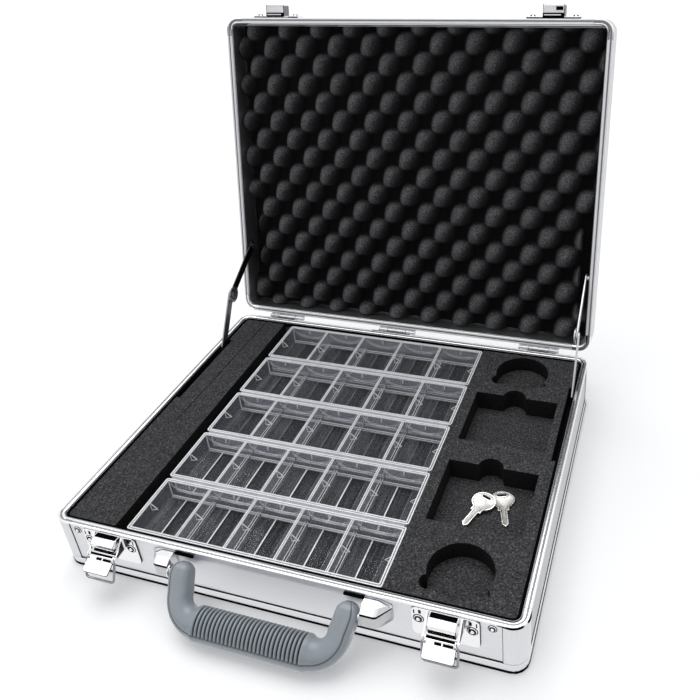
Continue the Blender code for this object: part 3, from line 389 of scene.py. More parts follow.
def rounded(low, high, radius, steps=5):
    (x0, y0), (x1, y1) = low, high
    centres = ((x1 - radius, y1 - radius), (x0 + radius, y1 - radius),
               (x0 + radius, y0 + radius), (x1 - radius, y0 + radius))
    points = []
    for i, centre in enumerate(centres):
        points += arc(centre, radius, i * RIGHT, (i + 1) * RIGHT, steps)
    return points


def add_sweep(bm, rings, material=0, closed=False):
    """Skin a list of rings of points, capped at both ends or closed to a loop."""
    made = [[bm.verts.new(p) for p in ring] for ring in rings]
    faces = []
    count = len(made[0])
    for a, b in zip(made, made[1:] + (made[:1] if closed else [])):
        for i in range(count):
            j = (i + 1) % count
            faces.append(bm.faces.new((a[i], a[j], b[j], b[i])))
    if not closed:
        faces += [bm.faces.new(made[0][::-1]), bm.faces.new(made[-1])]
    for face in faces:
        face.material_index = material
    bmesh.ops.recalc_face_normals(bm, faces=faces)
    return [v for ring in made for v in ring]


def add_prism(bm, outline, low, high, axis="Z", material=0):
    """A closed outline between two planes: (x, y) for Z, (y, z) for X, (x, z) for Y."""
    def at(u, v, w):
        return {"Z": (u, v, w), "X": (w, u, v), "Y": (u, w, v)}[axis]
    add_sweep(bm, [[at(u, v, w) for u, v in outline] for w in sorted((low, high))], material)


def frame_loop(bm, plan, inset, low, high, thick, radius, material):
    """A thin wall in from the edge of a plan rectangle."""
    def ring(by, bend, z):
        (x0, y0), (x1, y1) = plan
        return [(x, y, z) for x, y in rounded((x0 + by, y0 + by), (x1 - by, y1 - by), bend, 4)]
    bend = max(radius - thick, 0.0003)
    rings = [ring(inset, radius, low), ring(inset, radius, high),
             ring(inset + thick, bend, high), ring(inset + thick, bend, low)]
    add_sweep(bm, rings, material, True)


def add_tube(bm, points, radii, sides=16, material=0):
    """A round tube through points."""
    points = [Vector(p) for p in points]
    rings = []
    side = None
    for i, point in enumerate(points):
        along = (points[min(i + 1, len(points) - 1)] - points[max(i - 1, 0)]).normalized()
        if side is None:
            side = along.orthogonal().normalized()
        side = (side - along * side.dot(along)).normalized()
        other = along.cross(side)
        ring = []
        for k in range(sides):
            angle = 4 * RIGHT * k / sides
            ring.append(point + (side * math.cos(angle) + other * math.sin(angle)) * radii[i])
        rings.append(ring)
    add_sweep(bm, rings, material)


def lift(bm):
    """Turn a mesh made on the shut lid to the open lid."""
    bmesh.ops.transform(bm, matrix=LID_TURN, verts=bm.verts)
    return bm


# Camera, lights, floor

CAMERA_RIGHT = Vector((0.95017, 0.30560, -0.06146))
CAMERA_UP = Vector((-0.09901, 0.48282, 0.87010))
CAMERA_BACK = Vector((0.29558, -0.82066, 0.48902))
CAMERA_AT = (0.2520, -0.4775, 0.5007)
WHITE = (1, 1, 1, 1)
SKY = (0.96, 0.98, 1.0, 1)
SKY_STRENGTH = 0.52
DARK_WALL = (0.10, 0.10, 0.11, 1)
FLOOR_RADIUS = 14.0
FLOOR_GLOW = 0.165


def camera():
    data = bpy.data.cameras.new("camera")
    data.lens = 40.11
    data.sensor_width = 36.0
    data.shift_x = -0.1036
    data.shift_y = -0.11
    data.clip_start = 0.01
    made = linked("camera", data)
    turn = Matrix((CAMERA_RIGHT, CAMERA_UP, CAMERA_BACK)).transposed()
    made.matrix_world = Matrix.Translation(CAMERA_AT) @ turn.to_4x4()
    bpy.context.scene.camera = made


def lamp(name, away, strength, spread):
    """A broad far lamp that shines from this direction."""
    data = bpy.data.lights.new(name, "SUN")
    data.energy = strength
    data.angle = math.radians(spread)
    made = linked(name, data)
    made.location = away
    made.rotation_euler = (-Vector(away)).to_track_quat("-Z", "Y").to_euler()


def background(tree, colour, strength=1.0):
    return add_node(tree, "ShaderNodeBackground", {"Color": colour, "Strength": strength}).outputs[0]


def world():
    """White to the camera, a dimmer sky as light, and a room with a dark wall in reflections."""
    made = bpy.data.worlds.new("studio")
    bpy.context.scene.world = made
    made.use_nodes = True
    tree = made.node_tree
    tree.nodes.clear()
    rays = add_node(tree, "ShaderNodeLightPath").outputs
    seen = combined(tree, "MAXIMUM", rays["Is Camera Ray"], rays["Is Transmission Ray"])
    plain = blended(tree, seen, background(tree, SKY, SKY_STRENGTH), background(tree, WHITE))
    shiny = blended(tree, rays["Is Glossy Ray"], plain, background(tree, dark_room(tree)))
    add_node(tree, "ShaderNodeOutputWorld", {"Surface": shiny})


def dark_room(tree):
    """The white studio as metal reflects it: white, with its unlit front wall low down."""
    place = add_node(tree, "ShaderNodeTexCoord").outputs["Generated"]
    split = add_node(tree, "ShaderNodeSeparateXYZ", {0: place}).outputs
    shares = []
    for axis, start, end in (("Y", -0.15, -0.50), ("Z", 0.24, 0.16)):
        inputs = {"Value": split[axis], "From Min": start, "From Max": end}
        step = add_node(tree, "ShaderNodeMapRange", inputs)
        step.interpolation_type = "SMOOTHSTEP"
        shares.append(step.outputs["Result"])
    return mixed(tree, combined(tree, "MULTIPLY", *shares), WHITE, DARK_WALL)


def floor():
    """A matt floor that glows a little to the camera and looks white in reflections."""
    bm = bmesh.new()
    bmesh.ops.create_circle(bm, cap_ends=True, segments=96, radius=FLOOR_RADIUS)
    mesh = bpy.data.meshes.new("floor")
    bm.to_mesh(mesh)
    bm.free()
    made = linked("floor", mesh)
    paint = Paint("floor", (0.90, 0.90, 0.905), 0.8)
    matt = paint.shader.outputs[0]
    rays = paint.node("ShaderNodeLightPath").outputs
    glow = paint.node("ShaderNodeEmission", {"Color": WHITE, "Strength": FLOOR_GLOW}).outputs[0]
    lit = paint.node("ShaderNodeAddShader", {0: matt, 1: glow}).outputs[0]
    plain = blended(paint.tree, rays["Is Camera Ray"], matt, lit)
    mirrored = combined(paint.tree, "MAXIMUM", rays["Is Glossy Ray"], rays["Is Transmission Ray"])
    white = paint.node("ShaderNodeEmission", {"Color": WHITE, "Strength": 1.0}).outputs[0]
    last = blended(paint.tree, mirrored, plain, white)
    feed(paint.tree, paint.tree.nodes["Material Output"], {"Surface": last})
    mesh.materials.append(paint.mat)


def studio():
    camera()
    world()
    floor()
    lamp("key", (-0.30, 0.45, 1.6), 1.35, 50)
    lamp("left_fill", (-1.0, -1.0, 1.3), 0.30, 60)
    bpy.context.scene.view_settings.view_transform = "Standard"


# The shell

RAIL_TOP = 0.0088
# Painted light round the foot: a shadow line at the rail's top seam, a bright lip under it for the highlight,
# and a contact shadow along the bottom edge.
# Lines round the foot: inset, lowest and highest from the rail's top, material
FOOT_LINES = ((0.0004, -0.0001, 0.0004, 0), (-0.0002, -0.0008, -0.0001, 1), (-0.0003, -0.0088, -0.0068, 0))
# The line between a panel and a post: place in from the corner, half width, depth range, top
SEAM_IN = 0.01615
SEAM_HALF = 0.00028
SEAM_OUTSIDE = 0.0006
SEAM_DEPTH = 0.002
SEAM_TOP = 0.0464
CORNER_RIVET = (-0.1542, 0.0415, 0.0029)
FOOT_SHADOW = 0.0012


def cap_line(start, end, z):
    """Points round the front right corner at one height, between two angles in degrees."""
    middle = (HALF_W - CORNER, -HALF_D + CORNER)
    turn = arc(middle, CORNER - 0.0001, math.radians(start), math.radians(end), 8)
    return [(x, y, z) for x, y in turn]


def seams():
    """Painted shadow lines where panels, rail and posts meet and along the foot, a bright lip as painted
    highlight, painted dark reflections on a cap, and the corner rivets.
    """
    bm = bmesh.new()
    for inset, low, high, mat in FOOT_LINES:
        frame_loop(bm, CASE_PLAN, inset, RAIL_TOP + low, RAIL_TOP + high, 0.002, CORNER, mat)
    for sx, sy in CORNERS.values():
        x, y = sx * (HALF_W - SEAM_IN), sy * (HALF_D - SEAM_OUTSIDE)
        add_box(bm, (x - SEAM_HALF, y, RAIL_TOP), (x + SEAM_HALF, y - sy * SEAM_DEPTH, SEAM_TOP))
        x, y = sx * (HALF_W - SEAM_OUTSIDE), sy * (HALF_D - SEAM_IN)
        add_box(bm, (x, y - SEAM_HALF, RAIL_TOP), (x - sx * SEAM_DEPTH, y + SEAM_HALF, SEAM_TOP))
    # Painted dark reflections on the front right cap, as thin dark tubes.
    for points in ([(HALF_W - 0.020, -HALF_D, 0.0468), *cap_line(-90, -38, 0.0468)],
                   [*cap_line(-22, 0, 0.0469), (HALF_W, -HALF_D + 0.017, 0.0469)]):
        add_tube(bm, points, [0.0002] + [0.0009] * (len(points) - 2) + [0.0003], 10)
    new_object("base_painted_lines", bm, "case", [VOID, BRIGHT])
    bm = bmesh.new()
    for x in (-0.167, 0.167):
        rivet(bm, x, *CORNER_RIVET)
    new_object("corner_rivet_heads", bm, "case", [CHROME, VOID])


def shell():
    """The aluminium-faced panels, posts and rail, with painted shadow on the rail's underside."""
    for side, (_, y) in SIDES.items():
        # Front and back panels in the lit copy, side panels in the shaded copy: painted light and shade.
        softened("base_" + side + "_panel", "case", FRONT if y else ALU_Y)
    for corner in CORNERS:
        softened("base_" + corner + "_post", "case", POST)
    softened("base_bottom_panel", "case", ALU_X)
    rail = softened("base_bottom_rail", "case", FRONT)
    # Painted shadow: the rail's lowest faces take the shadow material.
    rail.data.materials.append(VOID)
    for face in rail.data.polygons:
        if face.center.z < FOOT_SHADOW:
            face.material_index = 1
    seams()
    softened("lid_side_band", "lid", ALU_X)
    softened("lid_top_panel", "lid", ALU_X)


# Rim section: distance in from the case's side, and height above the seam face's own plane
RIM_SECTION = ((0.0, -0.0012), (0.0, -0.0005), (0.0003, -0.0001), (0.0006, 0.0), (0.0015, 0.0),
               (0.0017, -0.0003), (0.0030, -0.0003), (0.0032, 0.0), (0.0047, 0.0), (0.0050, -0.0002),
               (0.0053, -0.0006), (0.0058, -0.0006), (0.0058, -0.0012))
# Faces of the rim's grooves in the shade grey: painted shade.
RIM_SHADED = (5, 10)


def rim_piece(name, body, path, lid, material):
    """The rim's section along a path of (x, y, outward), with painted shade in its grooves."""
    bm = bmesh.new()
    rings = [[(x - out[0] * inset, y - out[1] * inset, LID_LOW - rise if lid else BASE_TOP + rise)
              for inset, rise in RIM_SECTION] for x, y, out in path]
    add_sweep(bm, rings)
    bm.faces.ensure_lookup_table()
    count = len(RIM_SECTION)
    for i, face in enumerate(bm.faces):
        if i < count * (len(path) - 1) and i % count in RIM_SHADED:
            face.material_index = 1
    if lid:
        lift(bm)
    new_object(name + "_beaded", bm, body, [material, SHADE_GREY], (name,), 50)


def side_path(side):
    x, y = SIDES[side]
    if y:
        return [(way * (HALF_W - CAP_REACH - 0.0003), y * HALF_D, (0, y)) for way in (-1, 1)]
    return [(x * HALF_W, way * (HALF_D - CAP_REACH - 0.0003), (x, 0)) for way in (-1, 1)]


def corner_path(corner):
    sx, sy = CORNERS[corner]
    x, y = HALF_W - CORNER, HALF_D - CORNER
    turn = [(sx * (x + u * CORNER), sy * (y + v * CORNER), (sx * u, sy * v))
            for u, v in arc((0, 0), 1, 0, RIGHT, 10)]
    return [(sx * HALF_W, sy * (HALF_D - CAP_REACH), (sx, 0)), *turn,
            (sx * (HALF_W - CAP_REACH), sy * HALF_D, (0, sy))]


def rims():
    for half, body, lid in (("base", "case", False), ("lid", "lid", True)):
        for side in SIDES:
            rim_piece(half + "_" + side + "_rim", body, side_path(side), lid, LID_BRIGHT if lid else BRIGHT)
        for corner in CORNERS:
            rim_piece(half + "_" + corner + "_rim_corner", body, corner_path(corner), lid, CHROME)


HINGES = ("left", "middle", "right")
HINGE_RIVET_OUT = 0.0125
# Rings of a hinge rivet: start and end out of the case's back, foot and head radius
HINGE_RIVET = ((0.0006, 0.0018, 0.0020, 0.0019), (0.0017, 0.0023, 0.0018, 0.0009))


def hinge_leaves():
    # The leaves in the darker chrome: painted shade.
    for name in HINGES:
        for leaf, body in (("base", "case"), ("lid", "lid")):
            softened("hinge_%s_%s_leaf" % (name, leaf), body, SHADED_CHROME, 0.0002)


def hinge_rivets():
    """Small domed rivets through both leaves of each hinge, on the back of the case."""
    for leaf, body, z in (("base", "case", 0.036), ("lid", "lid", 0.062)):
        bm = bmesh.new()
        for name in HINGES:
            low, high = extent(vert.co for vert in NODES["hinge_%s_%s_leaf" % (name, leaf)].data.vertices)
            for way in (-1, 1):
                x = (low.x + high.x) / 2 + way * HINGE_RIVET_OUT
                for start, end, foot, head in HINGE_RIVET:
                    add_rod(bm, (x, HALF_D + start, z), (x, HALF_D + end, z), foot, 20, head)
        if leaf == "lid":
            lift(bm)
        new_object("hinge_" + leaf + "_rivets", bm, body, CHROME)


def hinge_gaps():
    """Painted shadow in the gap along each hinge's plate in the back seam."""
    bm = bmesh.new()
    for start, end in ((-0.155, -0.128), (-0.037, 0.005), (0.129, 0.157)):
        add_box(bm, (start, 0.1539, 0.0474), (end, 0.1549, 0.0482))
    new_object("hinge_gap_lines", bm, "case", VOID, (), 0)


# Foam

FOAM_GAP = (0.0430, 0.0464, 0.0024)


def foam_gap():
    """Painted shadow in the gap between the foam's edge and the rim."""
    bm = bmesh.new()
    inset = WALL + 0.0001
    frame_loop(bm, CASE_PLAN, inset, *FOAM_GAP, CORNER - inset, 0)
    new_object("foam_edge_gap", bm, "case", VOID)


def foam_blocks():
    foam_gap()
    for node, mat in (("foam_left_block", LEFT_FOAM), ("foam_right_block", FOAM), ("foam_floor", FLOOR_FOAM)):
        made = new_object(node + "_cut", node_mesh(node), "case", mat, (node,))
        bevelled(made, 0.0005, 3)


EGG_HALF = (0.182, 0.147)
EGG_STEPS = (182, 148)
EGG_BACK = LID_TOP - 0.0018
EGG_THIN = 0.0068
EGG_THICK = 0.0200
EGG_PITCH = (0.0177, 0.0184)
EGG_TURN = math.radians(2.0)
EGG_START = (-0.1659, -0.1440)
EGG_RADIUS = 0.0130
EGG_SKEW = 0.22
EGG_SHOULDER = 1.9
EGG_PEAK = 1.1
EGG_SHADE = 0.92
# The clear strips beside the stays: from this far out, about this middle, half length and slope
STRIP_OUT = 0.1735
STRIP_MIDDLE = 0.074
STRIP_HALF = 0.042
STRIP_SLOPE = 0.012


def egg_height(x, y):
    """Thickness and painted light and shade of the lid's foam: staggered domes on a lattice turned a little,
    lit from the left and shaded in the valleys.
    """
    x0, y0 = x - EGG_START[0], y - EGG_START[1]
    u = x0 * math.cos(EGG_TURN) - y0 * math.sin(EGG_TURN)
    v = x0 * math.sin(EGG_TURN) + y0 * math.cos(EGG_TURN)
    i, j = round(u / EGG_PITCH[0]), round(v / EGG_PITCH[1])
    sites = ((i, j), (i - 1, j), (i + 1, j), (i, j - 1), (i, j + 1))
    near = [(u - a * EGG_PITCH[0], v - b * EGG_PITCH[1]) for a, b in sites if (a + b) % 2 == 0]
    du, dv = min(near, key=lambda at: math.hypot(*at))
    du += EGG_SKEW * dv
    far = min((abs(du) ** 3 + abs(dv) ** 3) ** (1 / 3) / EGG_RADIUS, 1)
    share = (1 - far ** EGG_SHOULDER) ** EGG_PEAK
    # Painted light from the left: each dome lighter on its left and shaded on its right, with the valleys
    # shaded.
    lean = smoothstep((0.95 * du / EGG_RADIUS + 0.25 * dv / EGG_RADIUS + 0.42) / 1.05)
    painted_shading = smoothstep((share - 0.10) / 0.50) * (1 - EGG_SHADE * lean)
    if abs(x) > STRIP_OUT:
        outside = clamp((abs(y - STRIP_MIDDLE) - STRIP_HALF) / STRIP_SLOPE)
        share = min(share, outside)
        # The flat strips beside the stays are painted as shaded too.
        painted_shading *= outside
    return EGG_THIN + (EGG_THICK - EGG_THIN) * share, painted_shading


def egg_crate():
    columns, rows = EGG_STEPS
    bm = bmesh.new()
    grid = []
    painted_shading = bm.verts.layers.float.new("painted_shading")
    for j in range(rows + 1):
        y = EGG_HALF[1] * (2 * j / rows - 1)
        row = []
        for i in range(columns + 1):
            x = EGG_HALF[0] * (2 * i / columns - 1)
            wobble = 0.0005 * noise.noise(Vector((x * 90, y * 90, 3.0)))
            thick, bright = egg_height(x, y)
            vert = bm.verts.new((x, y, EGG_BACK - thick - wobble))
            vert[painted_shading] = bright
            row.append(vert)
        grid.append(row)
    for a, b in zip(grid, grid[1:]):
        for i in range(columns):
            bm.faces.new((a[i], a[i + 1], b[i + 1], b[i]))
    border = grid[0] + [row[-1] for row in grid[1:]] + grid[-1][-2::-1] + [row[0] for row in grid[-2:0:-1]]
    under = [bm.verts.new((v.co.x, v.co.y, EGG_BACK)) for v in border]
    for i in range(len(border)):
        j = (i + 1) % len(border)
        bm.faces.new((border[i], under[i], under[j], border[j]))
    bm.faces.new(under)
    bmesh.ops.recalc_face_normals(bm, faces=bm.faces)
    made = new_object("egg_crate_sheet", lift(bm), "lid", EGG, ("lid_egg_crate_foam",), 75)


# Chip trays

TRAY_LEFT = -0.1269
TRAY_WIDTH = 0.2126
TRAY_DEPTH = 0.0560
TRAY_PITCH = 0.0589
TRAY_BACK = 0.1458
TRAY_TOP = 0.0455
TRAY_CELLS = 5
TRAY_INSIDE = 0.0020
# A tray's walls: inset, foot and top below the tray's top, thickness, corner radius, material
TRAY_WALLS = ((0.0008, 0.0210, 0.0021, 0.0011, 0.0018, 2), (0, 0.0008, 0, 0.0010, 0.0020, 1),
              (0.0007, 0.0022, 0.0006, 0.0011, 0.0016, 2), (0.0019, 0.0008, 0, 0.0009, 0.0012, 1))
DIVIDER = 0.0016
CELL_FLOOR = 0.0257
CELL_RISE = 0.0045
# The bright kind, used on the front two trays only, is a painted highlight.
# Half width and material of a line where a cell's floor bends up, plain and bright
FLOOR_LINES = {False: (0.00025, 2), True: (0.00055, 1)}
# The bows moulded in a cell's end walls: inset from its sides, and depth
CELL_BOWS = ((0.0012, 0.0095), (0.0026, 0.0078))
BOW = arc((0, 0), 1, 2 * RIGHT, 4 * RIGHT, 22)
BOW_TOP = TRAY_TOP - 0.0016
BOW_LINE = 0.00016
FIN_TOP = TRAY_TOP - 0.0005
FIN_LENGTH = 0.0062
FIN_DROP = 0.0078
FIN_HALF = 0.00035
FIN_EDGE = 0.00038


def fin(bm, x, y, side):
    """A small triangular rib that leans from a wall's top into a compartment."""
    outline = [(x, FIN_TOP), (x + side * FIN_LENGTH, FIN_TOP - FIN_DROP * 0.72), (x, FIN_TOP - FIN_DROP)]
    add_prism(bm, outline, y - FIN_HALF, y + FIN_HALF, "Y", 3)
    for (u, v), (u2, v2) in zip(outline, outline[1:] + outline[:1]):
        add_rod(bm, (u, y, v), (u2, y, v2), FIN_EDGE, 6, material=1)


def tray_cell(bm, x0, x1, front, back, bright):
    """One compartment's stepped floor with its lines, and the lines and bows on its end walls; the bright
    ones are painted highlights.
    """
    third = (x1 - x0) / 3
    middle = (x0 + x1) / 2
    top = [(x0, CELL_FLOOR + CELL_RISE), (x0 + third, CELL_FLOOR), (x1 - third, CELL_FLOOR),
           (x1, CELL_FLOOR + CELL_RISE)]
    low = [(x, z - 0.0010) for x, z in top]
    for k, mat in ((0, 3), (1, 0), (2, 3)):
        add_prism(bm, [top[k], top[k + 1], low[k + 1], low[k]], front, back, "Y", mat)
    for x, half, mat in ((x0 + third, *FLOOR_LINES[bright]), (x1 - third, *FLOOR_LINES[False])):
        add_box(bm, (x - half, front, CELL_FLOOR - 0.0001), (x + half, back, CELL_FLOOR + 0.0003), mat)
    for y, way in ((front, 1), (back, -1)):
        for foot in (CELL_FLOOR + 0.0002, CELL_FLOOR + 0.0022):
            add_box(bm, (x0, y - 0.0004, foot), (x1, y + 0.0004, foot + 0.0007), 1)
        for inset, depth in CELL_BOWS:
            half = (x1 - x0) / 2 - inset
            points = [(middle + u * half, y + way * 0.0004, BOW_TOP + v * depth) for u, v in BOW]
            add_tube(bm, points, [BOW_LINE] * len(points), 6, 2 if way > 0 else 1)
        add_box(bm, (middle - 0.0004, y, TRAY_TOP - 0.0055),
                (middle + 0.0004, y + way * 0.0010, TRAY_TOP - 0.0020), 1)


def tray(index):
    """A clear tray: walls, front flange, compartments, dividers, ribs and corner posts, with its rims, edges,
    lines and corner posts in near-opaque white as painted highlights.
    """
    back = TRAY_BACK - index * TRAY_PITCH
    front = back - TRAY_DEPTH
    left, right = TRAY_LEFT, TRAY_LEFT + TRAY_WIDTH
    plan = ((left, front), (right, back))
    bm = bmesh.new()
    for inset, foot, top, thick, radius, mat in TRAY_WALLS:
        frame_loop(bm, plan, inset, TRAY_TOP - foot, TRAY_TOP - top, thick, radius, mat)
    add_box(bm, (left + 0.003, front - 0.0026, TRAY_TOP - 0.0012),
            (right - 0.003, front + 0.0004, TRAY_TOP - 0.0006), 4)
    left, right = left + TRAY_INSIDE, right - TRAY_INSIDE
    front, back = front + TRAY_INSIDE, back - TRAY_INSIDE
    middle = (front + back) / 2
    cell = (right - left - (TRAY_CELLS - 1) * DIVIDER) / TRAY_CELLS
    line = CELL_FLOOR + CELL_RISE
    for i in range(TRAY_CELLS):
        x0 = left + i * (cell + DIVIDER)
        # The front two trays get the wider, painted-highlight crease line.
        tray_cell(bm, x0, x0 + cell, front, back, index > 2)
        fin(bm, x0, middle, 1)
    fin(bm, right, middle, -1)
    for i in range(1, TRAY_CELLS):
        x1 = left + i * (cell + DIVIDER)
        x0 = x1 - DIVIDER
        add_box(bm, (x0 + 0.0002, front, CELL_FLOOR), (x1 - 0.0002, back, TRAY_TOP - 0.0008), 2)
        for x in (x0 - 0.0003, x1 - 0.0004):
            add_box(bm, (x, front, TRAY_TOP - 0.0011), (x + 0.0007, back, TRAY_TOP - 0.0001), 1)
        for x, out in ((x0, -0.0005), (x1, 0.0005)):
            add_box(bm, (x, front, line), (x + out, back, line + 0.0005), 1)
    for x in (left, right):
        for y in (front, back):
            add_rod(bm, (x, y, CELL_FLOOR), (x, y, TRAY_TOP - 0.0010), 0.0006, 8, material=1)
    name = "chip_tray_%d" % (index + 1)
    new_object(name + "_clear", bm, name, [SHEET, EDGE_HIGHLIGHT, WALL_SHEET, HAZE, LIP], (name,), 30)


# Draw latches: each one's middle, its lever's tilt and its bail's hang

LATCHES = {"left": (-0.1365, math.radians(63), math.radians(24)),
           "right": (0.1345, math.radians(48), math.radians(10))}
PLATE = (0.048, 0.0197, 0.0465)
PLATE_BACK = -0.1545
PLATE_FACE = -0.1557
PLATE_RIVET = (0.019, 0.0362)
PLATE_SLOTS = ((-0.0012, 0.0432, 0.0020, 0.0036), (0.0030, 0.0424, 0.0010, 0.0040))
RIVET_RADIUS = 0.0036
# Rings of material 1 are painted shadow, round the eyelet's foot and round the head.
# A rivet's rings: start and end proud of the face, sides, share of the radius at both ends, material
RIVET_RINGS = ((-0.0003, 0.0002, 28, 1.12, 1.12, 1), (0, 0.0006, 28, 1, 0.88, 0),
               (0.0005, 0.0009, 28, 0.80, 0.76, 1), (0.0008, 0.0015, 24, 0.46, 0.32, 0),
               (0.0014, 0.0018, 24, 0.32, 0.08, 0))
HOUSING_HALF = 0.01025
HOUSING = ((-0.1605, 0.0464), (-0.1645, 0.0430), (-0.1645, 0.0372))
SHEET_METAL = 0.0008
CHEEK_LOW = 0.0332
CHEEK_HIGH = 0.0460
CHEEK_BEND = 0.0018
CHEEK_SHADOW = (-0.1590, 0.0385, 0.72)
LEVER_AT = (-0.1665, 0.0345)
LEVER_HALF = 0.0112
LEVER_LENGTH = 0.0133
LEVER_THICK = 0.0006
BAIL_OFFSET = 0.0030
BAIL_LENGTH = 0.0160
BAIL_HALF = LEVER_HALF + 0.0014
BAIL_CORNER = 0.0026
WIRE = 0.00095


def rivet(bm, x, face, z, radius):
    """A flared eyelet with a domed head in it, proud of a front face, with painted shadow rings round the
    eyelet and the head.
    """
    for start, end, sides, foot, head, mat in RIVET_RINGS:
        add_rod(bm, (x, face - start, z), (x, face - end, z), radius * foot, sides, radius * head, mat)


def latch_plate(side):
    """A riveted plate with the latch's housing, cheeks and pivot ends, with painted shadows on a cheek, in
    the housing's open top, under the housing, and as a dark outline round the plate.
    """
    x = LATCHES[side][0]
    width, low, high = PLATE
    bm = bmesh.new()
    x0, x1 = x - width / 2, x + width / 2
    add_prism(bm, rounded((x0, low), (x1, high), 0.0032, 6), PLATE_FACE, PLATE_BACK, "Y")
    bend = arc(LEVER_AT, CHEEK_BEND, 3 * RIGHT, math.radians(60), 8)
    cheek = [(PLATE_FACE, CHEEK_LOW), *bend, (PLATE_FACE, CHEEK_HIGH)]
    wall = [(PLATE_FACE, HOUSING[2][1]), *reversed(HOUSING), (PLATE_FACE, HOUSING[0][1] - 0.0006)]
    for way in (-1, 1):
        at = x + way * PLATE_RIVET[0]
        rivet(bm, at, PLATE_FACE, PLATE_RIVET[1], RIVET_RADIUS)
        for out, z, w, h in PLATE_SLOTS:
            add_box(bm, (at + way * out - w / 2, PLATE_FACE - 0.0001, z - h / 2),
                    (at + way * out + w / 2, PLATE_FACE + 0.0002, z + h / 2), 1)
        add_prism(bm, cheek, x + way * (LEVER_HALF + 0.0004), x + way * (LEVER_HALF + 0.0016), "X")
        add_prism(bm, wall, x + way * HOUSING_HALF, x + way * (HOUSING_HALF - SHEET_METAL), "X")
        pin = [(x + way * (LEVER_HALF + out), *LEVER_AT) for out in (0.0002, 0.0021)]
        add_rod(bm, *pin, 0.0011)
    # Painted shadow on the outer cheek, in the shaded steel.
    y0, z0, share = CHEEK_SHADOW
    shadow = [(y0 + (y - y0) * share, z0 + (z - z0) * share) for y, z in cheek]
    add_prism(bm, shadow, x + LEVER_HALF + 0.0015, x + LEVER_HALF + 0.0018, "X", 2)
    inner = [(y + SHEET_METAL, z - (0.0003 if i == 0 else 0)) for i, (y, z) in enumerate(HOUSING)]
    add_prism(bm, list(HOUSING) + inner[::-1], x - HOUSING_HALF, x + HOUSING_HALF, "X")
    # Painted shadows: in the housing's open top, and in the band between the housing and the lever's barrel.
    for inset, y0, y1, z0, z1 in ((0.001, HOUSING[0][0] + 0.0004, PLATE_FACE, 0.0352, HOUSING[0][1] - 0.0010),
                                  (0.0004, -0.1638, PLATE_FACE - 0.003, 0.0346, 0.0371)):
        add_box(bm, (x - HOUSING_HALF + inset, y0, z0), (x + HOUSING_HALF - inset, y1, z1), 1)
    node = "latch_%s_plate" % side
    bevelled(new_object(node + "_detail", bm, "case", [CHROME, VOID, SHADED_STEEL], (node,)), 0.0002)
    # A dark outline round the plate: painted shadow.
    bm = bmesh.new()
    add_prism(bm, rounded((x0 - 0.0002, low - 0.0003), (x1 + 0.0002, high), 0.0034, 6),
              PLATE_FACE + 0.0008, PLATE_BACK + 0.0002, "Y")
    new_object("latch_%s_shadow_outline" % side, bm, "case", VOID)


def lever_turn(side):
    x, tilt, _ = LATCHES[side]
    return Matrix.Translation((x, *LEVER_AT)) @ Matrix.Rotation(-tilt, 4, "X")


def latch_lever(side):
    """The lever, made hanging at its pivot: plate, lip, pivot barrel, slots and the bail's bushes; the
    barrel's core, the slots and the bushes are dark as painted shade, and a dark outline round the plate is
    painted shadow.
    """
    bm = bmesh.new()
    half, thick = LEVER_HALF, LEVER_THICK
    add_prism(bm, rounded((-half, -LEVER_LENGTH), (half, -0.0004), 0.0014, 5), -thick, thick, "Y")
    lip = [(-thick, -LEVER_LENGTH + 0.0010), (thick, -LEVER_LENGTH + 0.0010),
           (thick + 0.0010, -LEVER_LENGTH + 0.0002), (thick + 0.0002, -LEVER_LENGTH)]
    add_prism(bm, lip, -half + 0.0012, half - 0.0012, "X")
    for start, end in ((-1.0, -0.90), (0.90, 1.0)):
        add_rod(bm, (start * half, 0, 0), (end * half, 0, 0), 0.00165, 20)
    # The barrel's core between the end knuckles is dark: painted shade.
    add_rod(bm, (-half, 0, 0), (half, 0, 0), 0.0014, material=1)
    add_rod(bm, (-half, -0.0011, -0.0008), (half, -0.0011, -0.0008), 0.0005, 12)
    # A dark outline behind the plate: painted shadow.
    shadow = rounded((-half - 0.0003, -LEVER_LENGTH - 0.0003), (half + 0.0003, -0.0004), 0.0016, 5)
    add_prism(bm, shadow, -0.0002, 0.0002, "Y", 1)
    for start, end in ((-0.35, 0.10), (0.18, 0.84)):
        add_box(bm, (start * half, -thick - 0.0001, -0.0036), (end * half, -thick + 0.0003, -0.0016), 1)
    for way in (-1, 1):
        bush = [(way * (half - inset), 0.0004, -BAIL_OFFSET) for inset in (0.0001, 0.0014)]
        add_rod(bm, *bush, 0.0013, 18, material=1)
    bmesh.ops.transform(bm, matrix=lever_turn(side), verts=bm.verts)
    node = "latch_%s_lever" % side
    bevelled(new_object(node + "_detail", bm, node, [CHROME, VOID], (node,)), 0.00018)


def latch_bail(side):
    """The wire loop that hangs from the lever."""
    tilt, hang = LATCHES[side][1:]
    low = arc((BAIL_HALF - BAIL_CORNER, -BAIL_LENGTH + BAIL_CORNER), BAIL_CORNER, 0, -RIGHT, 8)
    high = arc((BAIL_HALF - 0.001, -0.001), 0.001, RIGHT, 0, 5)
    part = [(LEVER_HALF - 0.0016, 0)] + high + low
    path = part + [(-u, v) for u, v in reversed(part)]
    bm = bmesh.new()
    add_tube(bm, [(u, 0, v) for u, v in path], [WIRE] * len(path), 14)
    turn = lever_turn(side) @ Matrix.Translation((0, 0, -BAIL_OFFSET)) @ Matrix.Rotation(tilt - hang, 4, "X")
    bmesh.ops.transform(bm, matrix=turn, verts=bm.verts)
    node = "latch_%s_bail" % side
    new_object(node + "_wire", bm, node, WIRE_STEEL, (node,), 50)


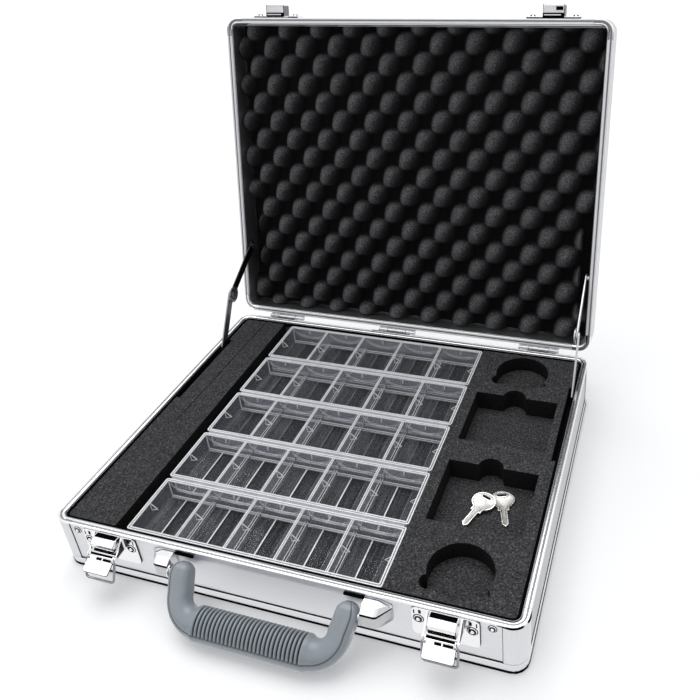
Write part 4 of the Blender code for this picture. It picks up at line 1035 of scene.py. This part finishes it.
CATCH_RIVET_IN = 0.005
CATCH_RIVET_UP = 0.0055
HOOD = 0.0095


def catches():
    """The lid's catches, with rivets, and painted light and shade: shadow lines at the hood's foot and the
    plate's foot, dark lines across the hood and on the rivet heads, bright plates of painted light on the
    mouth's face, and painted shade on the hood's right cheek.
    """
    back = LID_TURN.inverted()
    face = PLATE_FACE
    for side in LATCHES:
        node = "lid_catch_" + side
        softened(node, "lid", CHROME, 0.0003)
        points = [back @ vert.co for vert in NODES[node].data.vertices]
        (x0, out, low), (x1, _, _) = extent(points)
        x, half = (x0 + x1) / 2, (x1 - x0) / 2
        top = max(p.z for p in points if p.y < face - 0.003)
        bm = bmesh.new()
        add_prism(bm, rounded((x0 - 0.0003, low - 0.0001), (x1 + 0.0003, low + 0.0132), 0.0016, 4),
                  face + 0.0006, PLATE_BACK, "Y", 1)
        # Material 1 boxes are painted shadow lines, material 0 bright plates of painted light on the mouth's
        # face, material 2 painted shade lines on the hood, material 3 painted shade on the right cheek.
        # Start and end from the middle, front and back, foot and top, material
        boxes = [(-half if side == "right" else half - 0.010, half, face - 0.0001, face + 0.0008,
                  low - 0.0001, low + 0.0006, 1),
                 (-HOOD, HOOD, -0.1596, face + 0.0002, low - 0.0002, low + 0.0008, 1),
                 (-HOOD + 0.0012, HOOD - 0.0030, -0.1583, -0.1574, low - 0.0004, low + 0.0004, 0),
                 (-HOOD + 0.0012, HOOD - 0.0012, out + 0.0012, -0.1594, low + 0.0006, low + 0.0012, 0),
                 (HOOD - 0.0001, HOOD + 0.0002, out + 0.0006, face - 0.0004, low + 0.0004, top - 0.0016, 3)]
        for z in (low + 0.0002, top - 0.0030):
            boxes.append((-HOOD + 0.0002, HOOD - 0.0002, out - 0.0001, out + 0.0003, z, z + 0.0005, 2))
        if side == "right":
            boxes.append((0.0020, HOOD - 0.0008, out + 0.0016, -0.1618, low + 0.0002, low + 0.0010, 1))
        for way in (-1, 1):
            at = way * (half - CATCH_RIVET_IN)
            rivet(bm, x + at, face, low + CATCH_RIVET_UP, RIVET_RADIUS)
            boxes.append((at - 0.0026, at + 0.0022, face - 0.0022, face - 0.0016,
                          low + 0.0050, low + 0.0062, 1))
            boxes.append((way * HOOD, way * (HOOD - 0.0005), out - 0.0001, face - 0.0004,
                          low - 0.0001, low + 0.0004, 2))
        for start, end, y0, y1, z0, z1, mat in boxes:
            add_box(bm, (x + start, y0, z0), (x + end, y1, z1), mat)
        new_object(node + "_details", lift(bm), "lid", [LID_BRIGHT, VOID, SHADED_STEEL, SHADE_GREY])


# Handle

BRACKET_INNER = 0.0768
BRACKET_WIDTH = 0.0195
BRACKET_MIDDLE = 0.0345
BRACKET_OUTLINE = ((PLATE_BACK, 0.0235), (PLATE_BACK, 0.0447), (-0.1617, 0.0447), (-0.1669, 0.0414),
                   (-0.1673, 0.0397), (-0.1673, 0.0300), (-0.1613, 0.0235))
# A bracket's sections from its inner face out: share of the width, of the reach and of the height
BRACKET_SHARES = ((0.0, 1.0, 1.0), (0.04, 1.0, 1.0), (0.52, 1.0, 1.0), (0.62, 0.93, 0.97),
                  (0.97, 0.12, 0.74), (1.0, 0.04, 0.70))
# Facets in painted light and shade: the upper slope lit in bright metal, a thin facet under it as a shadow
# line, the front and lower facets shaded in the darker chrome.
BRACKET_LIGHT_AND_SHADE = {2: 2, 3: 1, 4: 3, 5: 3}
# The pivot's pin and washer: start and end from the inner face, foot radius, sides, head radius
BRACKET_PIVOT = ((0.002, 0.0085, 0.0024, 24, 0.0024), (0.0002, 0.0007, 0.0052, 32, 0.0048))
CLIP_PROFILE = ((0, 0.0422), (0.0016, 0.0424), (0.0022, 0.0434), (0.0018, 0.0446), (0, 0.0447))
HANDLE_AT = (-0.1645, 0.0345)
HANDLE_TILT = math.radians(44)
ARM_RADIUS = 0.0092
HANDLE_ARM = ((0.0665, -0.0085, 0.0030), (0.0665, -0.0070, 0.0060), (0.0665, -0.0042, 0.0084),
              (0.0665, 0.0000, ARM_RADIUS), (0.0655, 0.0060, ARM_RADIUS), (0.0643, 0.0110, ARM_RADIUS))
HANDLE_BEND = (0.064, 0.018, 0.030)
BEND_RADII = (ARM_RADIUS, ARM_RADIUS, 0.0094, 0.0098, 0.0105, 0.0115)
BEND_STEPS = 24
GRIP_RADIUS = 0.0128
GRIP_HALF = 0.0425
GRIP_RIBS = 27
RIB_DEPTH = 0.0022
RIB_STEPS = 8
HANDLE_SIDES = 64
HANDLE_SEAMS = (10, HANDLE_SIDES - 10)
SEAM_CUT = 0.0006


def brackets():
    """The handle's faceted brackets with their pivots and painted light and shade on the facets, and the dark
    clips beside them.
    """
    near = PLATE_BACK
    y, z = HANDLE_AT
    for name, side in (("left", -1), ("right", 1)):
        rings = [[(side * (BRACKET_INNER + along * BRACKET_WIDTH), near + (v - near) * reach,
                   BRACKET_MIDDLE + (w - BRACKET_MIDDLE) * tall) for v, w in BRACKET_OUTLINE]
                 for along, reach, tall in BRACKET_SHARES]
        bm = bmesh.new()
        add_sweep(bm, rings)
        bm.faces.ensure_lookup_table()
        count = len(BRACKET_OUTLINE)
        for i, face in enumerate(bm.faces):
            if i < count * (len(rings) - 1):
                face.material_index = BRACKET_LIGHT_AND_SHADE.get(i % count, 0)
        for start, end, foot, sides, head in BRACKET_PIVOT:
            pin = [(side * (BRACKET_INNER + out), y, z) for out in (start, -end)]
            add_rod(bm, *pin, foot, sides, head)
        node = "handle_%s_bracket" % name
        looks = [CHROME, VOID, BRIGHT, SHADED_CHROME]
        bevelled(new_object(node + "_facets", bm, "case", looks, (node,), 20), 0.00022, 2, 15)
        bm = bmesh.new()
        profile = [(near - out, w) for out, w in CLIP_PROFILE]
        add_prism(bm, profile, side * (BRACKET_INNER - 0.0006), side * (BRACKET_INNER - 0.0160), "X")
        bevelled(new_object("handle_%s_clip" % name, bm, "case", VOID, (), 40), 0.0004)


def handle_rings():
    """Middle line, radius and rib share of one half, from the pivot's end to the grip's middle."""
    bend_x, turn, length = HANDLE_BEND
    rows = []
    last = (bend_x, length - turn, ARM_RADIUS)
    for start, end in zip(HANDLE_ARM, HANDLE_ARM[1:] + (last,)):
        for k in range(3):
            x, reach, radius = (a + (b - a) * k / 3 for a, b in zip(start, end))
            rows.append((x, -reach, radius, 0.0))
    for i, (x, y) in enumerate(arc((bend_x - turn, -length + turn), turn, 0, -RIGHT, BEND_STEPS)):
        at = i / BEND_STEPS * (len(BEND_RADII) - 1)
        k = min(int(at), len(BEND_RADII) - 2)
        rows.append((x, y, BEND_RADII[k] + (BEND_RADII[k + 1] - BEND_RADII[k]) * (at - k), 0.0))
    rows.append((GRIP_HALF + 0.0012, -length, GRIP_RADIUS - 0.0001, 0.0))
    pitch = 2 * GRIP_HALF / GRIP_RIBS
    for i in range(int(GRIP_RIBS * RIB_STEPS / 2) + 1):
        phase = (i % RIB_STEPS) / RIB_STEPS
        share = max(0.0, 1 - abs(phase - 0.5) / 0.26) ** 0.7 if phase else 0.0
        rows.append((GRIP_HALF - i * pitch / RIB_STEPS, -length, GRIP_RADIUS, share))
    return rows


def handle():
    """The handle in one sweep: arms, bends and ribbed grip, with two moulding lines; the grooves between the
    ribs and the moulding lines are darkened as painted shade.
    """
    rows = handle_rings()
    rows = rows + [(-x, y, r, rib) for x, y, r, rib in reversed(rows) if x > 0.0002]
    rings = []
    shade_levels = []
    for i, (x, y, radius, rib) in enumerate(rows):
        ahead, behind = rows[min(i + 1, len(rows) - 1)], rows[max(i - 1, 0)]
        outward = Vector((ahead[1] - behind[1], behind[0] - ahead[0], 0)).normalized()
        if outward.y > 0 or (abs(outward.y) < 0.2 and outward.x * x < 0):
            outward = -outward
        square = min((HANDLE_BEND[2] + y) / HANDLE_BEND[1], 1)
        ring = []
        for k in range(HANDLE_SIDES):
            angle = 4 * RIGHT * k / HANDLE_SIDES
            cos, sin = math.cos(angle), math.sin(angle)
            cut = rib * RIB_DEPTH * clamp((0.62 - cos) / 0.12)
            seam = SEAM_CUT if k in HANDLE_SEAMS else 0.0
            # Painted shade: dark in the rib grooves and along the moulding lines.
            shade_levels.append(max(min(cut / RIB_DEPTH * 1.15, 1.0), 0.85 if seam else 0.0))
            reach = (radius - cut - seam) * (1 + square * (0.14 * math.sin(2 * angle) ** 2 - 0.09))
            flat = 1.0 - 0.05 * abs(sin) ** 3
            ring.append(Vector((x, y, 0)) + outward * (cos * reach) + Vector((0, 0, sin * reach * flat)))
        rings.append(ring)
    bm = bmesh.new()
    painted_shading = bm.verts.layers.float.new("painted_shading")
    for vert, level in zip(add_sweep(bm, rings), shade_levels):
        vert[painted_shading] = level
    turn = Matrix.Translation((0, *HANDLE_AT)) @ Matrix.Rotation(HANDLE_TILT, 4, "X")
    bmesh.ops.transform(bm, matrix=turn, verts=bm.verts)
    new_object("handle_grip", bm, "handle", GREY, ("handle",), 55)


# Stays and keys

STAY_ELBOW = Vector((HINGE.y - 0.0312, HINGE.z + 0.0421))
PIN_INSET = 0.004
STAY_STEP = 0.0001
# Rings of a joint: radius, steps out of the arm's face, material
ELBOW_RINGS = ((0.0079, 2, 1), (0.0057, 3, 0), (0.0034, 4, 1), (0.0019, 5, 0))
PIN_RINGS = ((0.0041, 2, 1), (0.0030, 3, 0), (0.0016, 4, 1))
KEY_BORDER = 0.0009
KEY_SLOPE = 0.0003
KEY_SINK = 0.0004


def stays():
    """The stays' arms, a little fuller than their solids, with rings at the elbow and at the lid's pin; the
    left stay is painted darker, as shaded, and the right lighter, as lit.
    """
    # One steel in a shaded copy for the left stay and a lit copy for the right: painted light and shade.
    for side, sign, swell, mat in (("left", -1, 0.0005, SHADED_STEEL), ("right", 1, 0.0001, LIT_STEEL)):
        for arm in ("lower", "upper"):
            node = "stay_" + side + "_" + arm + "_arm"
            bm = node_mesh(node)
            bm.normal_update()
            moves = [vert.normal * swell * Vector((0.1, 1, 1)) for vert in bm.verts]
            for vert, move in zip(bm.verts, moves):
                vert.co += move
            if arm == "lower":
                centre, face, joint, sides = STAY_ELBOW, HALF_W - 0.0114, ELBOW_RINGS, 32
            else:
                tip = max((vert.co.yz for vert in bm.verts), key=lambda p: (p - STAY_ELBOW).length)
                centre = tip - (tip - STAY_ELBOW).normalized() * PIN_INSET
                face, joint, sides = HALF_W - 0.0099, PIN_RINGS, 28
            for radius, out, mark in joint:
                add_rod(bm, (sign * face, *centre), (sign * (face - STAY_STEP * out), *centre), radius, sides,
                        radius * 0.96, mark)
            # The left lower arm in a half-shaded copy: painted shade.
            steel = HALF_SHADED_STEEL if side == "left" and arm == "lower" else mat
            bevelled(new_object(node + "_soft", bm, node, [steel, BRIGHT], (node,)), 0.0002)


def keys():
    """The keys, with a sunk, darker face inside a plain border, and painted shade on the slope down to it."""
    for node in ("key_under", "key_over"):
        bm = node_mesh(node)
        bm.normal_update()
        top = [face for face in bm.faces if face.normal.z > 0.9]
        for width, depth in ((KEY_BORDER, 0), (KEY_SLOPE, -KEY_SINK)):
            slope = bmesh.ops.inset_region(bm, faces=top, thickness=width, depth=depth, use_boundary=True,
                                           use_even_offset=True)
        # The slope down to the sunk face in the shade grey: painted shade.
        for face in slope["faces"]:
            face.material_index = 1
        for face in top:
            face.material_index = 2
        made = new_object(node + "_soft", bm, "keys", [NICKEL, SHADE_GREY, SUNK_NICKEL], (node,))
        bevelled(made, 0.00015)


studio()
shell()
rims()
hinge_leaves()
hinge_gaps()
hinge_rivets()
foam_blocks()
egg_crate()
for number in range(5):
    tray(number)
for name in LATCHES:
    latch_plate(name)
    latch_lever(name)
    latch_bail(name)
catches()
brackets()
handle()
stays()
keys()
